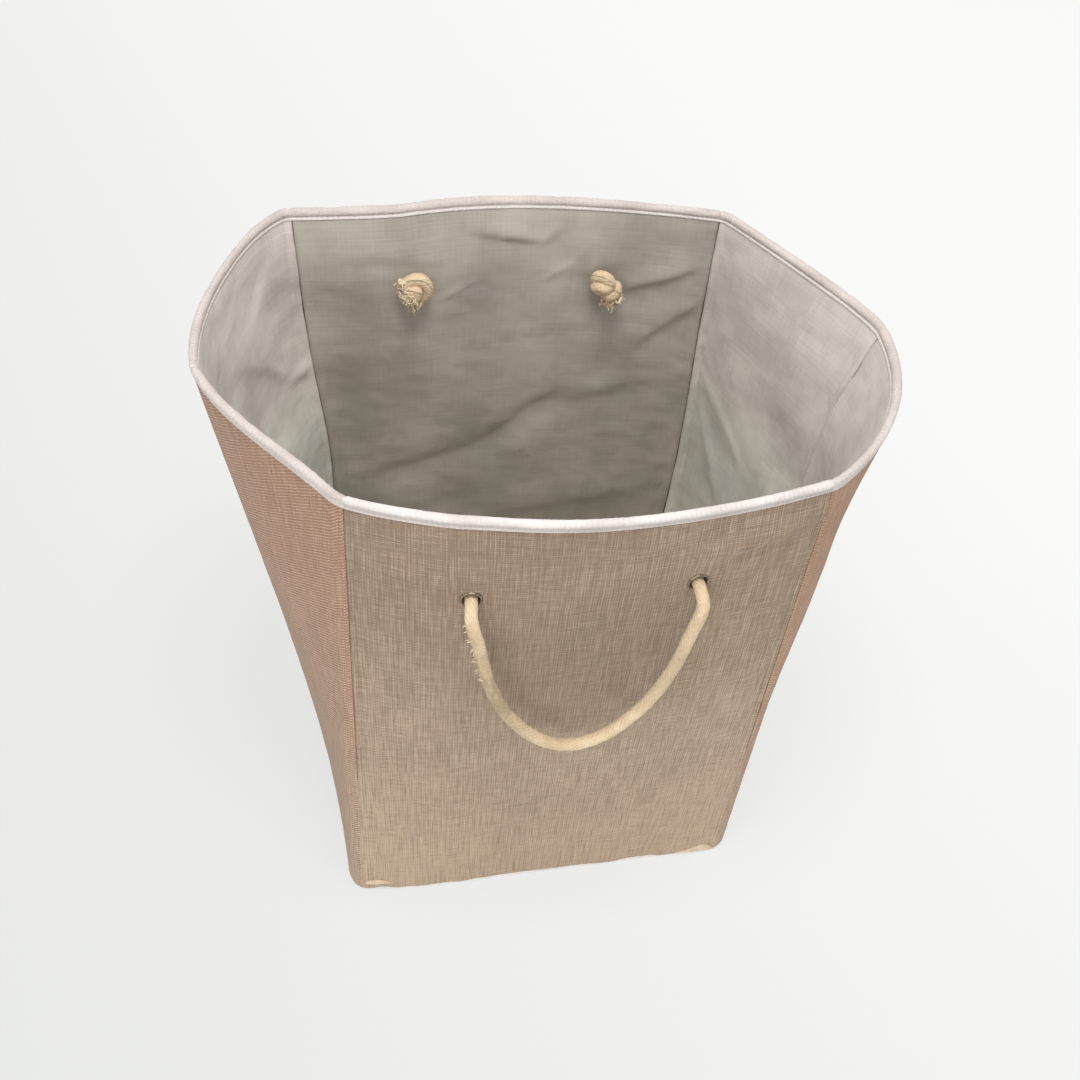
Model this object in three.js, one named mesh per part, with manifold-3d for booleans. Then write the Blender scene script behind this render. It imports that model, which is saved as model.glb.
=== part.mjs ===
// A tall soft-sided laundry hamper that folds flat: linen-look cloth outside, grey lining inside,
// thin stiffeners between them, a rolled white binding round the mouth, and a rope handle through
// two eyelets at the front and at the back. The side walls are creased and bulge out at the mouth.
// Millimetres, +Z up, front towards -Y, the origin on the ground at the middle of the base.

import * as THREE from 'three';
import { LoftGeometry } from 'three/addons/geometries/LoftGeometry.js';
import { mergeVertices } from 'three/addons/utils/BufferGeometryUtils.js';
import Module from 'manifold-3d';

const wasm = await Module();
wasm.setup();

// Driving dimensions
const height = 540;
const rimWidth = 400; // from corner seam to corner seam, across the front
const baseWidth = 380;
const rimDepth = 364; // from the front corner seams to the back ones
const baseDepth = 344;
const rimBow = 28; // how far the front and back bow out between their corners
const baseBow = 2;
const rimBulge = 100; // how far the side creases stand out past the corners
const baseBulge = 4;
const fullShoulder = 110; // from a crease to the bend of the half sides that belly out
const flatShoulder = 30; // and of those that run straighter
const rimCornerCut = 8; // from a corner to where its rounding starts
const baseCornerCut = 16;
const cornerSeamShare = 0.2; // of a corner's rounding, from the long wall's end: the sides wrap the rest

// Layers of a wall, from its middle surface outwards and inwards
const stiffenerThickness = 2.2;
const clothThickness = 0.8;
const liningThickness = 0.6;
const layerGap = 0.3;
const seamGap = 0.3;

const stiffenerFace = stiffenerThickness / 2;
const clothInside = stiffenerFace + layerGap;
const clothFace = clothInside + clothThickness;
const liningOutside = stiffenerFace + layerGap;
const liningFace = liningOutside + liningThickness;
const skinLift = 0.5; // the cloth and the lining end this far above the ground

// Rolled binding of the mouth, with a flat tape edge below the roll
const rollDiameter = 9;
const tapeThickness = 0.7;
const tapeDrop = 3;
const wallTop = height - rollDiameter - layerGap;

// Floor, in two halves that fold up at the middle
const floorClearance = 0.3; // to the lining, all round
const floorCreaseGap = 0.6;
const floorBoardThickness = 2.2;

// Rope handles and their eyelets
const ropeDiameter = 11;
const eyeletSpacing = 186;
const eyeletDrop = 88; // from the top of the rim to the eyelets' middle
const eyeletDiameter = 20;
const eyeletBore = 14.6;
const barrelWall = 0.6;
const barrelClearance = 0.3;
const flangeThickness = 1.3;
const flangeEdge = 0.5;
const flangeGap = 0.4;
const washerThickness = 1;
const ropeClearance = 0.3; // the rope lies this far above the lowest point of the bore
const ropeBendRadius = 22;
const ropeJointAngle = 45; // degrees of the bend that stay with the wall
const knotLength = 28;
const knotWidth = 18;
const knotLobeTilts = [0.35, 1.5, 2.6];
const tailLength = 17;
const tailFlare = 3;
const tailLean = Math.PI / 18; // away from the wall
const tailSplay = Math.PI / 6; // sideways, away from the middle

// Right half of a handle's route, from its joint at the eyelet to the lowest point
const handleRoute = [
  [94.9, -217.4, 443.0],
  [94.3, -220.0, 439.5],
  [93.0, -222.0, 434.8],
  [91.3, -222.9, 429.0],
  [89.6, -223.0, 422.5],
  [86.6, -223.0, 407.0],
  [83.2, -223.0, 389.5],
  [78.6, -223.0, 371.0],
  [72.0, -223.0, 350.5],
  [62.0, -223.0, 328.0],
  [49.5, -223.0, 308.5],
  [35.0, -223.0, 291.5],
  [18.5, -223.0, 279.8],
  [0, -223.0, 275.2],
];

// Facets
const frontSteps = 9; // odd, so that each eyelet lies inside one facet
const frontCornerSteps = 1;
const sideCornerSteps = 3;
const sideSteps = 8;
const wallLevels = 4;
const rollSteps = 6;
const roundSides = 18;
const ropeSides = 10;
const ropeSteps = 40;
const stubSteps = 7;
const knotSides = 12;
const knotRings = 8;
const cutOverrun = 4;

// Colours
const cloth = { color: 0xa8937c, roughness: 0.9, metalness: 0 };
const lining = { color: 0x98938c, roughness: 0.88, metalness: 0 };
const binding = { color: 0xe6e0dc, roughness: 0.8, metalness: 0 };
const stiffener = { color: 0xb7a58b, roughness: 0.85, metalness: 0 };
const underside = { color: 0xd9cfbd, roughness: 0.85, metalness: 0 };
const rope = { color: 0xd9c6a0, roughness: 0.95, metalness: 0 };
const eyelet = { color: 0x6b6258, roughness: 0.4, metalness: 0.9 };

function piece(name, geometry, look) {
  const mesh = new THREE.Mesh(geometry, new THREE.MeshStandardMaterial(look));
  mesh.name = name;
  return mesh;
}

// Booleans

function toManifold(geometry) {
  const bare = geometry.clone();
  bare.deleteAttribute('normal');
  bare.deleteAttribute('uv');
  const merged = mergeVertices(bare);
  const order = merged.index.array;
  return new wasm.Manifold(
    new wasm.Mesh({
      numProp: 3,
      vertProperties: new Float32Array(merged.attributes.position.array),
      triVerts: new Uint32Array(order),
    }),
  );
}

function fromManifold(solid) {
  const mesh = solid.getMesh();
  const geometry = new THREE.BufferGeometry();
  geometry.setAttribute('position', new THREE.BufferAttribute(mesh.vertProperties, 3));
  geometry.setIndex(new THREE.BufferAttribute(mesh.triVerts, 1));
  return geometry;
}

function joined(geometries) {
  return fromManifold(geometries.map(toManifold).reduce((whole, part) => whole.add(part)));
}

function cutBy(geometry, cutters) {
  const uncut = toManifold(geometry);
  return fromManifold(cutters.map(toManifold).reduce((left, cutter) => left.subtract(cutter), uncut));
}

// The hamper's outline at one level, as the quarter from the middle of the front to the right crease

const mirrorX = (v) => new THREE.Vector2(-v.x, v.y);
const mirrorY = (v) => new THREE.Vector2(v.x, -v.y);

function outline({ width, depth, bow, bulge, cornerCut }, shoulder) {
  const corner = new THREE.Vector2(width / 2, -depth / 2);
  const crease = new THREE.Vector2(width / 2 + bulge, 0);
  const bend = new THREE.Vector2(crease.x, -shoulder);
  const slope = (2 * bow) / (width / 2 + cornerCut);
  const alongFront = new THREE.Vector2(-1, -slope).normalize();
  const alongSide = bend.clone().sub(corner).normalize();
  const frontEnd = corner.clone().addScaledVector(alongFront, cornerCut);
  const sideStart = corner.clone().addScaledVector(alongSide, cornerCut);
  const frontControl = new THREE.Vector2(0, frontEnd.y - slope * frontEnd.x);
  return {
    leftCorner: new THREE.QuadraticBezierCurve(mirrorX(sideStart), mirrorX(corner), mirrorX(frontEnd)),
    front: new THREE.QuadraticBezierCurve(mirrorX(frontEnd), frontControl, frontEnd),
    rightCorner: new THREE.QuadraticBezierCurve(frontEnd, corner, sideStart),
    side: new THREE.QuadraticBezierCurve(sideStart, bend, crease),
  };
}

// Points along a curve with the outward direction at each, for the share of it from start to end
function stations(curve, start, end, steps) {
  return Array.from({ length: steps + 1 }, (_, i) => {
    const share = THREE.MathUtils.lerp(start, end, i / steps);
    const tangent = curve.getTangent(share);
    return { point: curve.getPoint(share), outwards: new THREE.Vector2(tangent.y, -tangent.x) };
  });
}

function chain(...runs) {
  return runs.flatMap((run, i) => (i === 0 ? run : run.slice(1)));
}

// The share of a curve that half a seam takes, on each side of the seam
const seamShare = (curve) => seamGap / 2 / curve.getLength();

// The front meets a straight half side at its left and a bellied one at its right
function frontRun({ full, flat }) {
  const seam = cornerSeamShare - seamShare(full.rightCorner);
  return chain(
    stations(flat.leftCorner, 1 - seam, 1, frontCornerSteps),
    stations(full.front, 0, 1, frontSteps),
    stations(full.rightCorner, 0, seam, frontCornerSteps),
  );
}

function sideRun(level) {
  return chain(
    stations(level.rightCorner, cornerSeamShare + seamShare(level.rightCorner), 1, sideCornerSteps),
    stations(level.side, 0, 1 - seamShare(level.side), sideSteps),
  );
}

function mirroredRun(run) {
  const mirrored = ({ point, outwards }) => ({ point: mirrorY(point), outwards: mirrorY(outwards) });
  return run.map(mirrored).reverse();
}

const baseSizes = {
  width: baseWidth,
  depth: baseDepth,
  bow: baseBow,
  bulge: baseBulge,
  cornerCut: baseCornerCut,
};
const rimSizes = { width: rimWidth, depth: rimDepth, bow: rimBow, bulge: rimBulge, cornerCut: rimCornerCut };
const levelOf = (sizes) => ({ full: outline(sizes, fullShoulder), flat: outline(sizes, flatShoulder) });
const baseLevel = levelOf(baseSizes);
const rimLevel = levelOf(rimSizes);

// A wall is the straight-ruled surface between its run of stations at the base and its run at the rim
const frontWall = { base: frontRun(baseLevel), rim: frontRun(rimLevel) };
const sideFrontWall = { base: sideRun(baseLevel.full), rim: sideRun(rimLevel.full) };
const sideBackWall = {
  base: mirroredRun(sideRun(baseLevel.flat)),
  rim: mirroredRun(sideRun(rimLevel.flat)),
};

function stationPoint(wall, index, offset, z) {
  const low = wall.base[index].point.clone().addScaledVector(wall.base[index].outwards, offset);
  const high = wall.rim[index].point.clone().addScaledVector(wall.rim[index].outwards, offset);
  const place = low.lerp(high, z / height);
  return new THREE.Vector3(place.x, place.y, z);
}

// The point of a wall at a fractional station, so that it lies on the facet between two stations
function facetPoint(wall, index, offset, z) {
  const before = Math.floor(index);
  const start = stationPoint(wall, before, offset, z);
  return start.lerp(stationPoint(wall, before + 1, offset, z), index - before);
}

// Where the front wall is at a distance across and a height, with its tangents: x across, y up, z outwards
function frontFrame(across, z) {
  const xs = frontWall.base.map((_, i) => stationPoint(frontWall, i, 0, z).x);
  const before = xs.findIndex((x, i) => x <= across && across < xs[i + 1]);
  const index = before + (across - xs[before]) / (xs[before + 1] - xs[before]);
  const place = facetPoint(frontWall, index, 0, z);
  const facetStart = stationPoint(frontWall, before, 0, z);
  const sideways = stationPoint(frontWall, before + 1, 0, z).sub(facetStart).normalize();
  const upwards = facetPoint(frontWall, index, 0, height).sub(facetPoint(frontWall, index, 0, 0));
  const outwards = new THREE.Vector3().crossVectors(sideways, upwards).normalize();
  upwards.crossVectors(outwards, sideways);
  return new THREE.Matrix4().makeBasis(sideways, upwards, outwards).setPosition(place);
}

// A closed thin solid between two equal grids of points, each a list of rows from the bottom up. Both faces
// are split along the same diagonals, so that a twisted wall keeps its thickness.
function shellBetween(outer, inner) {
  const rows = outer.length;
  const columns = outer[0].length;
  const outside = (row, column) => row * columns + column;
  const inside = (row, column) => (rows + row) * columns + column;
  const order = [];
  const quad = (a, b, c, d) => order.push(a, b, c, a, c, d);
  for (let row = 0; row < rows - 1; row += 1) {
    for (let column = 0; column < columns - 1; column += 1) {
      const corners = [[row, column], [row, column + 1], [row + 1, column + 1], [row + 1, column]];
      quad(...corners.map((corner) => outside(...corner)));
      const [a, b, c, d] = corners.map((corner) => inside(...corner));
      quad(a, d, c, b);
    }
    const end = columns - 1;
    quad(outside(row, 0), outside(row + 1, 0), inside(row + 1, 0), inside(row, 0));
    quad(outside(row, end), inside(row, end), inside(row + 1, end), outside(row + 1, end));
  }
  for (let column = 0; column < columns - 1; column += 1) {
    const top = rows - 1;
    quad(outside(0, column), inside(0, column), inside(0, column + 1), outside(0, column + 1));
    quad(outside(top, column), outside(top, column + 1), inside(top, column + 1), inside(top, column));
  }
  const geometry = new THREE.BufferGeometry().setFromPoints([...outer.flat(), ...inner.flat()]);
  geometry.setIndex(order);
  return geometry;
}

// One layer of a wall, between two offsets from the middle surface
function shell(wall, inside, outside, bottom) {
  const grid = (offset) =>
    Array.from({ length: wallLevels + 1 }, (_, level) => {
      const z = THREE.MathUtils.lerp(bottom, wallTop, level / wallLevels);
      return wall.base.map((_, i) => stationPoint(wall, i, offset, z));
    });
  return shellBetween(grid(outside), grid(inside));
}

// The binding's section, as [offset outwards, height]: round the tape's edges inside and over the roll
function bindingProfile() {
  const insideTape = -liningFace - layerGap;
  const outsideTape = clothFace + layerGap;
  const tapeFoot = wallTop - tapeDrop;
  const radius = rollDiameter / 2;
  const middle = (insideTape + outsideTape) / 2;
  const rollFoot = Math.asin((radius - tapeDrop / 2) / radius);
  const roll = Array.from({ length: rollSteps + 1 }, (_, i) => {
    const angle = THREE.MathUtils.lerp(Math.PI + rollFoot, -rollFoot, i / rollSteps);
    return [middle + radius * Math.cos(angle), height - radius + radius * Math.sin(angle)];
  });
  return [
    [outsideTape, tapeFoot],
    [outsideTape, wallTop + layerGap],
    [insideTape, wallTop + layerGap],
    [insideTape, tapeFoot],
    [insideTape - tapeThickness, tapeFoot],
    ...roll,
    [outsideTape + tapeThickness, tapeFoot],
  ];
}

function bindingStrip(wall) {
  const profile = bindingProfile();
  const sections = wall.base.map((_, i) => profile.map(([offset, z]) => stationPoint(wall, i, offset, z)));
  return new LoftGeometry(sections, { capStart: true, capEnd: true });
}

// Eyelets

function ring(profile) {
  const points = [...profile, profile[0]].map(([radius, along]) => new THREE.Vector2(radius, along));
  return new THREE.LatheGeometry(points, roundSides).rotateX(Math.PI / 2);
}

function eyeletRing() {
  const bore = eyeletBore / 2;
  const barrel = bore + barrelWall;
  const edge = eyeletDiameter / 2;
  const seat = clothFace + flangeGap;
  const top = seat + flangeThickness;
  const back = -liningFace - flangeGap - washerThickness;
  return ring([
    [bore, back],
    [barrel, back],
    [barrel, seat],
    [edge, seat],
    [edge, seat + flangeEdge],
    [edge - flangeThickness, top],
    [barrel, top],
    [bore, top - flangeEdge],
  ]);
}

function washerRing() {
  const hole = eyeletBore / 2 + barrelWall + barrelClearance;
  const seat = -liningFace - flangeGap;
  return ring([
    [hole, seat - washerThickness],
    [eyeletDiameter / 2, seat - washerThickness],
    [eyeletDiameter / 2, seat],
    [hole, seat],
  ]);
}

function eyeletHole(frame) {
  const radius = eyeletBore / 2 + barrelWall + barrelClearance;
  const length = clothFace + liningFace + 2 * cutOverrun;
  const hole = new THREE.CylinderGeometry(radius, radius, length, roundSides).rotateX(Math.PI / 2);
  return hole.applyMatrix4(frame);
}

// Rope

function ropeSection() {
  const section = new THREE.Shape();
  section.absarc(0, 0, ropeDiameter / 2, 0, 2 * Math.PI);
  return section;
}

function ropeAlong(path, steps) {
  return new THREE.ExtrudeGeometry(ropeSection(), {
    extrudePath: path,
    steps,
    curveSegments: ropeSides / 2, // an arc is drawn with twice as many
    bevelEnabled: false,
  });
}

function ropeBall(place) {
  const ball = new THREE.SphereGeometry(ropeDiameter / 2, ropeSides, knotRings);
  return ball.translate(place.x, place.y, place.z);
}

// The free loop, with a rounded end that turns in front of each eyelet
function handleLoop() {
  const right = handleRoute.map(([x, y, z]) => new THREE.Vector3(x, y, z));
  const left = right.slice(0, -1).map((p) => new THREE.Vector3(-p.x, p.y, p.z)).reverse();
  const path = new THREE.CatmullRomCurve3([...right, ...left], false, 'centripetal');
  return joined([ropeAlong(path, ropeSteps), ropeBall(right[0]), ropeBall(left[left.length - 1])]);
}

// The rope's fixed end in the eyelet's frame: a knot behind the wall with a frayed tail, and a stub through
// the bore that starts the bend down to the loop
function ropeEnd(frame, leftward) {
  const mouth = clothFace + flangeGap + flangeThickness;
  const knotMiddle = -liningFace - flangeGap - washerThickness - layerGap - knotWidth / 2;
  const turned = THREE.MathUtils.degToRad(ropeJointAngle) - (ropeDiameter / 2 + layerGap) / ropeBendRadius;
  const down = new THREE.Vector3(0, 0, -1).transformDirection(frame.clone().invert());
  down.z = 0;
  down.normalize();
  const start = new THREE.Vector3(0, 0, mouth);
  const control = new THREE.Vector3(0, 0, mouth + ropeBendRadius * Math.tan(turned / 2));
  const stop = start.clone().addScaledVector(down, ropeBendRadius * (1 - Math.cos(turned)));
  stop.z += ropeBendRadius * Math.sin(turned);
  const path = new THREE.CurvePath();
  path.add(new THREE.LineCurve3(new THREE.Vector3(0, 0, knotMiddle), start));
  path.add(new THREE.QuadraticBezierCurve3(start, control, stop));
  const lobes = knotLobeTilts.map((tilt) =>
    new THREE.SphereGeometry(1 / 2, knotSides, knotRings)
      .scale(knotLength, ropeDiameter, knotWidth)
      .rotateZ(leftward * tilt)
      .translate(0, 0, knotMiddle),
  );
  const tailEnd = ropeDiameter / 2 + tailFlare;
  const tail = new THREE.CylinderGeometry(ropeDiameter / 2, tailEnd, tailLength, ropeSides)
    .translate(0, -tailLength, 0)
    .rotateX(tailLean)
    .rotateZ(-leftward * tailSplay)
    .translate(0, 0, knotMiddle);
  const seat = down.clone().multiplyScalar((eyeletBore - ropeDiameter) / 2 - ropeClearance);
  const end = joined([ropeAlong(path, stubSteps), ...lobes, tail]);
  return end.translate(seat.x, seat.y, 0).applyMatrix4(frame);
}

// Floor

// Half of the floor fits inside the lining's base, up to the crease in the middle
function floorPlan() {
  const inset = -liningFace - floorClearance;
  const insideOf = (wall) =>
    wall.base.map(({ point, outwards }) => point.clone().addScaledVector(outwards, inset));
  const right = insideOf(sideFrontWall);
  const left = insideOf(sideBackWall).map((v) => v.negate()); // a half-turn brings it to the front left
  right.push(new THREE.Vector2(right.pop().x, -floorCreaseGap / 2));
  left.unshift(new THREE.Vector2(left.shift().x, -floorCreaseGap / 2));
  return [...left, ...insideOf(frontWall), ...right];
}

function floorPlate(bottom, thickness) {
  const plan = new THREE.Shape(floorPlan());
  const plate = new THREE.ExtrudeGeometry(plan, { depth: thickness, bevelEnabled: false });
  return plate.translate(0, 0, bottom);
}

// Half of the hamper: one long wall with its handle, the whole side to its right, and its half of the floor.
// The other half is the same, turned half a turn about the upright axis.

function layers(prefix, wall, holes) {
  const made = [
    piece(`${prefix}_outer_cloth`, shell(wall, clothInside, clothFace, skinLift), cloth),
    piece(`${prefix}_stiffener`, shell(wall, -stiffenerFace, stiffenerFace, 0), stiffener),
    piece(`${prefix}_lining`, shell(wall, -liningFace, -liningOutside, skinLift), lining),
  ];
  for (const mesh of holes.length ? made : []) {
    mesh.geometry = cutBy(mesh.geometry, holes);
  }
  return [...made, piece(`${prefix}_rim_binding`, bindingStrip(wall), binding)];
}

function handleFittings(prefix, side, frame, leftward) {
  return [
    piece(`${prefix}_${side}_eyelet`, eyeletRing().applyMatrix4(frame), eyelet),
    piece(`${prefix}_${side}_washer`, washerRing().applyMatrix4(frame), eyelet),
    piece(`${prefix}_${side}_rope_end`, ropeEnd(frame, leftward), rope),
  ];
}

function floorHalf(prefix) {
  const boardBottom = clothThickness + layerGap;
  const liningBottom = boardBottom + floorBoardThickness + layerGap;
  return [
    piece(`${prefix}_floor_base_cloth`, floorPlate(0, clothThickness), underside),
    piece(`${prefix}_floor_board`, floorPlate(boardBottom, floorBoardThickness), stiffener),
    piece(`${prefix}_floor_lining`, floorPlate(liningBottom, liningThickness), lining),
  ];
}

function halfHamper({ prefix, right, left, frontSide, backSide }) {
  const half = new THREE.Group();
  const rightFrame = frontFrame(eyeletSpacing / 2, height - eyeletDrop);
  const leftFrame = frontFrame(-eyeletSpacing / 2, height - eyeletDrop);
  half.add(
    ...layers(prefix, frontWall, [eyeletHole(leftFrame), eyeletHole(rightFrame)]),
    ...layers(frontSide, sideFrontWall, []),
    ...layers(backSide, sideBackWall, []),
    ...handleFittings(prefix, left, leftFrame, 1),
    ...handleFittings(prefix, right, rightFrame, -1),
    ...floorHalf(prefix),
    piece(`${prefix}_handle_rope`, handleLoop(), rope),
  );
  return half;
}

const frontHalf = halfHamper({
  prefix: 'front',
  right: 'right',
  left: 'left',
  frontSide: 'right_front',
  backSide: 'right_back',
});
const backHalf = halfHamper({
  prefix: 'back',
  right: 'left',
  left: 'right',
  frontSide: 'left_back',
  backSide: 'left_front',
});
backHalf.rotation.z = Math.PI;

const hamper = new THREE.Group();
hamper.add(frontHalf, backHalf);

export default hamper;
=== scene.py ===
"""A tall folding laundry hamper: linen-look cloth outside, grey lining inside, a rolled white binding round the
mouth and a rope handle through two eyelets at the front and the back. Metres, +Z up, the front towards -Y."""

import math

import bpy
import numpy as np
from mathutils import Matrix, Vector


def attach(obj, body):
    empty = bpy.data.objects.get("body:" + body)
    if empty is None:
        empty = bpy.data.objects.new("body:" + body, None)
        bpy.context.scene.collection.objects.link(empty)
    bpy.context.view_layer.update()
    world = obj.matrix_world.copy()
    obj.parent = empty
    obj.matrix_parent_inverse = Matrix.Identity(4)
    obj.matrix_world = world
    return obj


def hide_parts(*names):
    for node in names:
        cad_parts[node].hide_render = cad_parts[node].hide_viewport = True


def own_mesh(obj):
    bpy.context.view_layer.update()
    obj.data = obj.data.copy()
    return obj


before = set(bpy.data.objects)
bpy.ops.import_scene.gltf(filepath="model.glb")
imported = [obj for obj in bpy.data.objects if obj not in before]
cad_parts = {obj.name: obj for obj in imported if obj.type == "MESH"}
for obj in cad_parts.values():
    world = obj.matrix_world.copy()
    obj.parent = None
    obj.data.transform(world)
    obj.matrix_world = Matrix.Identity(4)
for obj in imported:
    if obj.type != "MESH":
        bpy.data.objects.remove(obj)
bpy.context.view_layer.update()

# Sizes, as in the part's own source

HEIGHT = 0.540
RIM_SIZES = {"width": 0.400, "depth": 0.364, "bow": 0.028, "bulge": 0.100, "cut": 0.008}
BASE_SIZES = {"width": 0.380, "depth": 0.344, "bow": 0.002, "bulge": 0.004, "cut": 0.016}
FULL_SHOULDER = 0.110  # from a crease to the bend of the half sides that belly out
FLAT_SHOULDER = 0.030
CORNER_SEAM_SHARE = 0.2

BOARD_FACE = 0.0011
CLOTH_INSIDE = 0.0014
CLOTH_OUTSIDE = CLOTH_INSIDE + 0.0008
LINING_OUTSIDE = -0.0014
LINING_INSIDE = LINING_OUTSIDE - 0.0006
WALL_TOP = 0.5322
CLOTH_ROWS = 150
BOARD_ROWS = 110

ROLL_RADIUS = 0.0038
TAPE_POINTS = 10  # of the binding's section before its roll
ROLL_POINTS = 24
ROLL_STARTS = (0.0125, 0.0133)  # distances round the binding's section between which the roll starts
ROLL_ENDS = (0.0287, 0.0295)
TAPE_FOOT = 0.5300
TAPE_THICKNESS = 0.0009
TAPE_GAP = 0.0003  # between a cloth and the tape over it
STITCH_PITCH = 0.004
STITCH_RADIUS = 0.00022
SEAM_THREAD_RADIUS = 0.00065
SEAM_SUNK = 0.0016  # how deep an outer seam's thread lies where the seam has faded out
FLOOR_GAP = 0.0003  # between the base's crease and the cloths of each half
FLOOR_INSET = 0.0023  # of the floor inside the walls' base line
FLOOR_CROWDING_X = 0.172  # beyond it the floor's columns crowd together towards the crease

LINEN_PITCH = 0.0022  # of the threads in the weave
LINEN_RIB_PITCH = 0.0027
FINE_PITCH = 0.0010
TAPE_RIB_PITCH = 0.0030
YARN_PITCHES = (0.0029, 0.0041)  # of the rope's yarns, which slant two ways

ROPE_RADIUS = 0.0055
STUB_RADIUS = ROPE_RADIUS - 0.00015  # of the fixed end, inside the loop's end where they meet
LAY_PITCH = 0.017  # of the rope's slanting ridges, and their height as a share of its radius
LAY_HEIGHT = 0.016
LAY_RIDGES = 5
FUZZ_RADIUS = 0.00016
ROPE_BEND_RADIUS = 0.022
ROPE_JOINT_ANGLE = math.radians(45)
EYELET_BORE = 0.0073
EYELET_EDGE = 0.0094
EYELET_SIDES = 64
EYELET_X = 0.093
EYELET_Z = 0.452
EYELET_ORIGIN = (EYELET_X, -0.19854, EYELET_Z)
EYELET_NORMAL = (0.10182, -0.99316, -0.05710)
EYELET_MOUTH = 0.0039
EYELET_CALM = 0.015  # how far round an eyelet the cloth lies flat
HOLE_RADIUS = 0.0084  # of the holes for the eyelets, hidden under their flanges
KNOT_RADIUS = 0.0060
KNOT_DEPTH = 0.0032  # from the middle of the wall to the knot's first turn
# Frayed yarns are paler partly as loose cotton is, partly as painted light against the tufts' own shade.
FRAYED = 0.5  # added to the flat coordinate round the rope where the yarns are frayed, and paler
FRONT_ROPE_START = 1.85  # where the front handle's flat coordinate along the rope starts
ROPE_REST = 0.0015  # how far the rope lies below the middle of its eyelet

# Right half of a handle's route, from its joint at the eyelet to the lowest point, in millimetres
HANDLE_ROUTE = [
    (94.9, -217.4, 443), (94.3, -220, 439.5), (93, -222, 434.8), (91.3, -222.9, 429), (89.6, -223, 422.5),
    (86.6, -223, 407), (83.2, -223, 389.5), (78.6, -223, 371), (72, -223, 350.5), (62, -223, 328),
    (49.5, -223, 308.5), (35, -223, 291.5), (18.5, -223, 279.8), (0, -223, 275.2),
]

# The real hamper is a little askew: how far its left corners stand further back at the rim (the front and the
# back one), how much of that is gone at the left crease, how far the back left corner stands further left and the
# front left one further right, how far the top of the long walls bends back, how far the right crease is drawn in
# under the rim, how far the back corners stand further right halfway down (the left one in the lining only), and
# how far the front wall's foot bulges on the left
ASKEW_FRONT_CORNER = 0.018
ASKEW_BACK_CORNER = 0.027
ASKEW_CREASE = 0.013
ASKEW_LEFT = 0.014
ASKEW_RIGHT = 0.006
FRONT_BEND = 0.008
BACK_BEND = 0.014
RIGHT_WAIST = 0.009
LEFT_SWAY = 0.015
RIGHT_SWAY = 0.006
FOOT_BULGE = 0.006
CORNERS_FROM = 0.104  # |x| beyond which the corners move, and over how much more it grows
CORNERS_REACH = 0.096
CREASES_MOVE = (0.205, 0.300)  # |x| between which the creases' own move sets in
BEND_FROM = 0.468  # the height above which the long walls bend back, and over how much more it grows
BEND_REACH = 0.072
HALFWAY = 0.24
FOOT_GAP_X = -0.010  # the middle of the stretch where the pale base shows under the front wall
SEAM_FADES = (0.06, 0.22)  # heights between which the outer corner seams fade out downwards

CAMERA_PLACE = (-0.2433, -1.0362, 1.4012)
CAMERA_TURNS = ((-13.55, "Z"), (44.09, "X"), (5.67, "Z"))  # degrees


# Shader graphs


def srgb(red, green, blue):
    """Linear colour of a screen colour up to 255: ((c + 0.055) / 1.055)^2.4, or c / 12.92 where c is small."""
    c = np.array((red, green, blue)) / 255
    linear = np.where(c <= 0.04045, c / 12.92, ((c + 0.055) / 1.055) ** 2.4)
    return (*linear.tolist(), 1.0)


def arithmetic(operation, swapped=False):
    """A method of a wire that adds a Math node."""

    def method(wire, *others):
        values = (*others, wire) if swapped else (wire, *others)
        return wire.graph.node("ShaderNodeMath", {"operation": operation}, dict(enumerate(values)))

    return method


class Wire:
    """An output socket whose arithmetic adds Math nodes."""

    def __init__(self, graph, socket):
        self.graph = graph
        self.socket = socket

    __add__ = __radd__ = arithmetic("ADD")
    __mul__ = __rmul__ = arithmetic("MULTIPLY")
    __sub__ = arithmetic("SUBTRACT")
    __rsub__ = arithmetic("SUBTRACT", swapped=True)
    __pow__ = arithmetic("POWER")
    __abs__ = arithmetic("ABSOLUTE")
    sine = arithmetic("SINE")
    top = arithmetic("MAXIMUM")

    def between(self, start, end):
        """0 where the value is start or less, 1 where it is end or more, smooth between."""
        settings = {"interpolation_type": "SMOOTHSTEP"}
        return self.graph.node("ShaderNodeMapRange", settings, {"Value": self, "From Min": start, "From Max": end})


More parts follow.
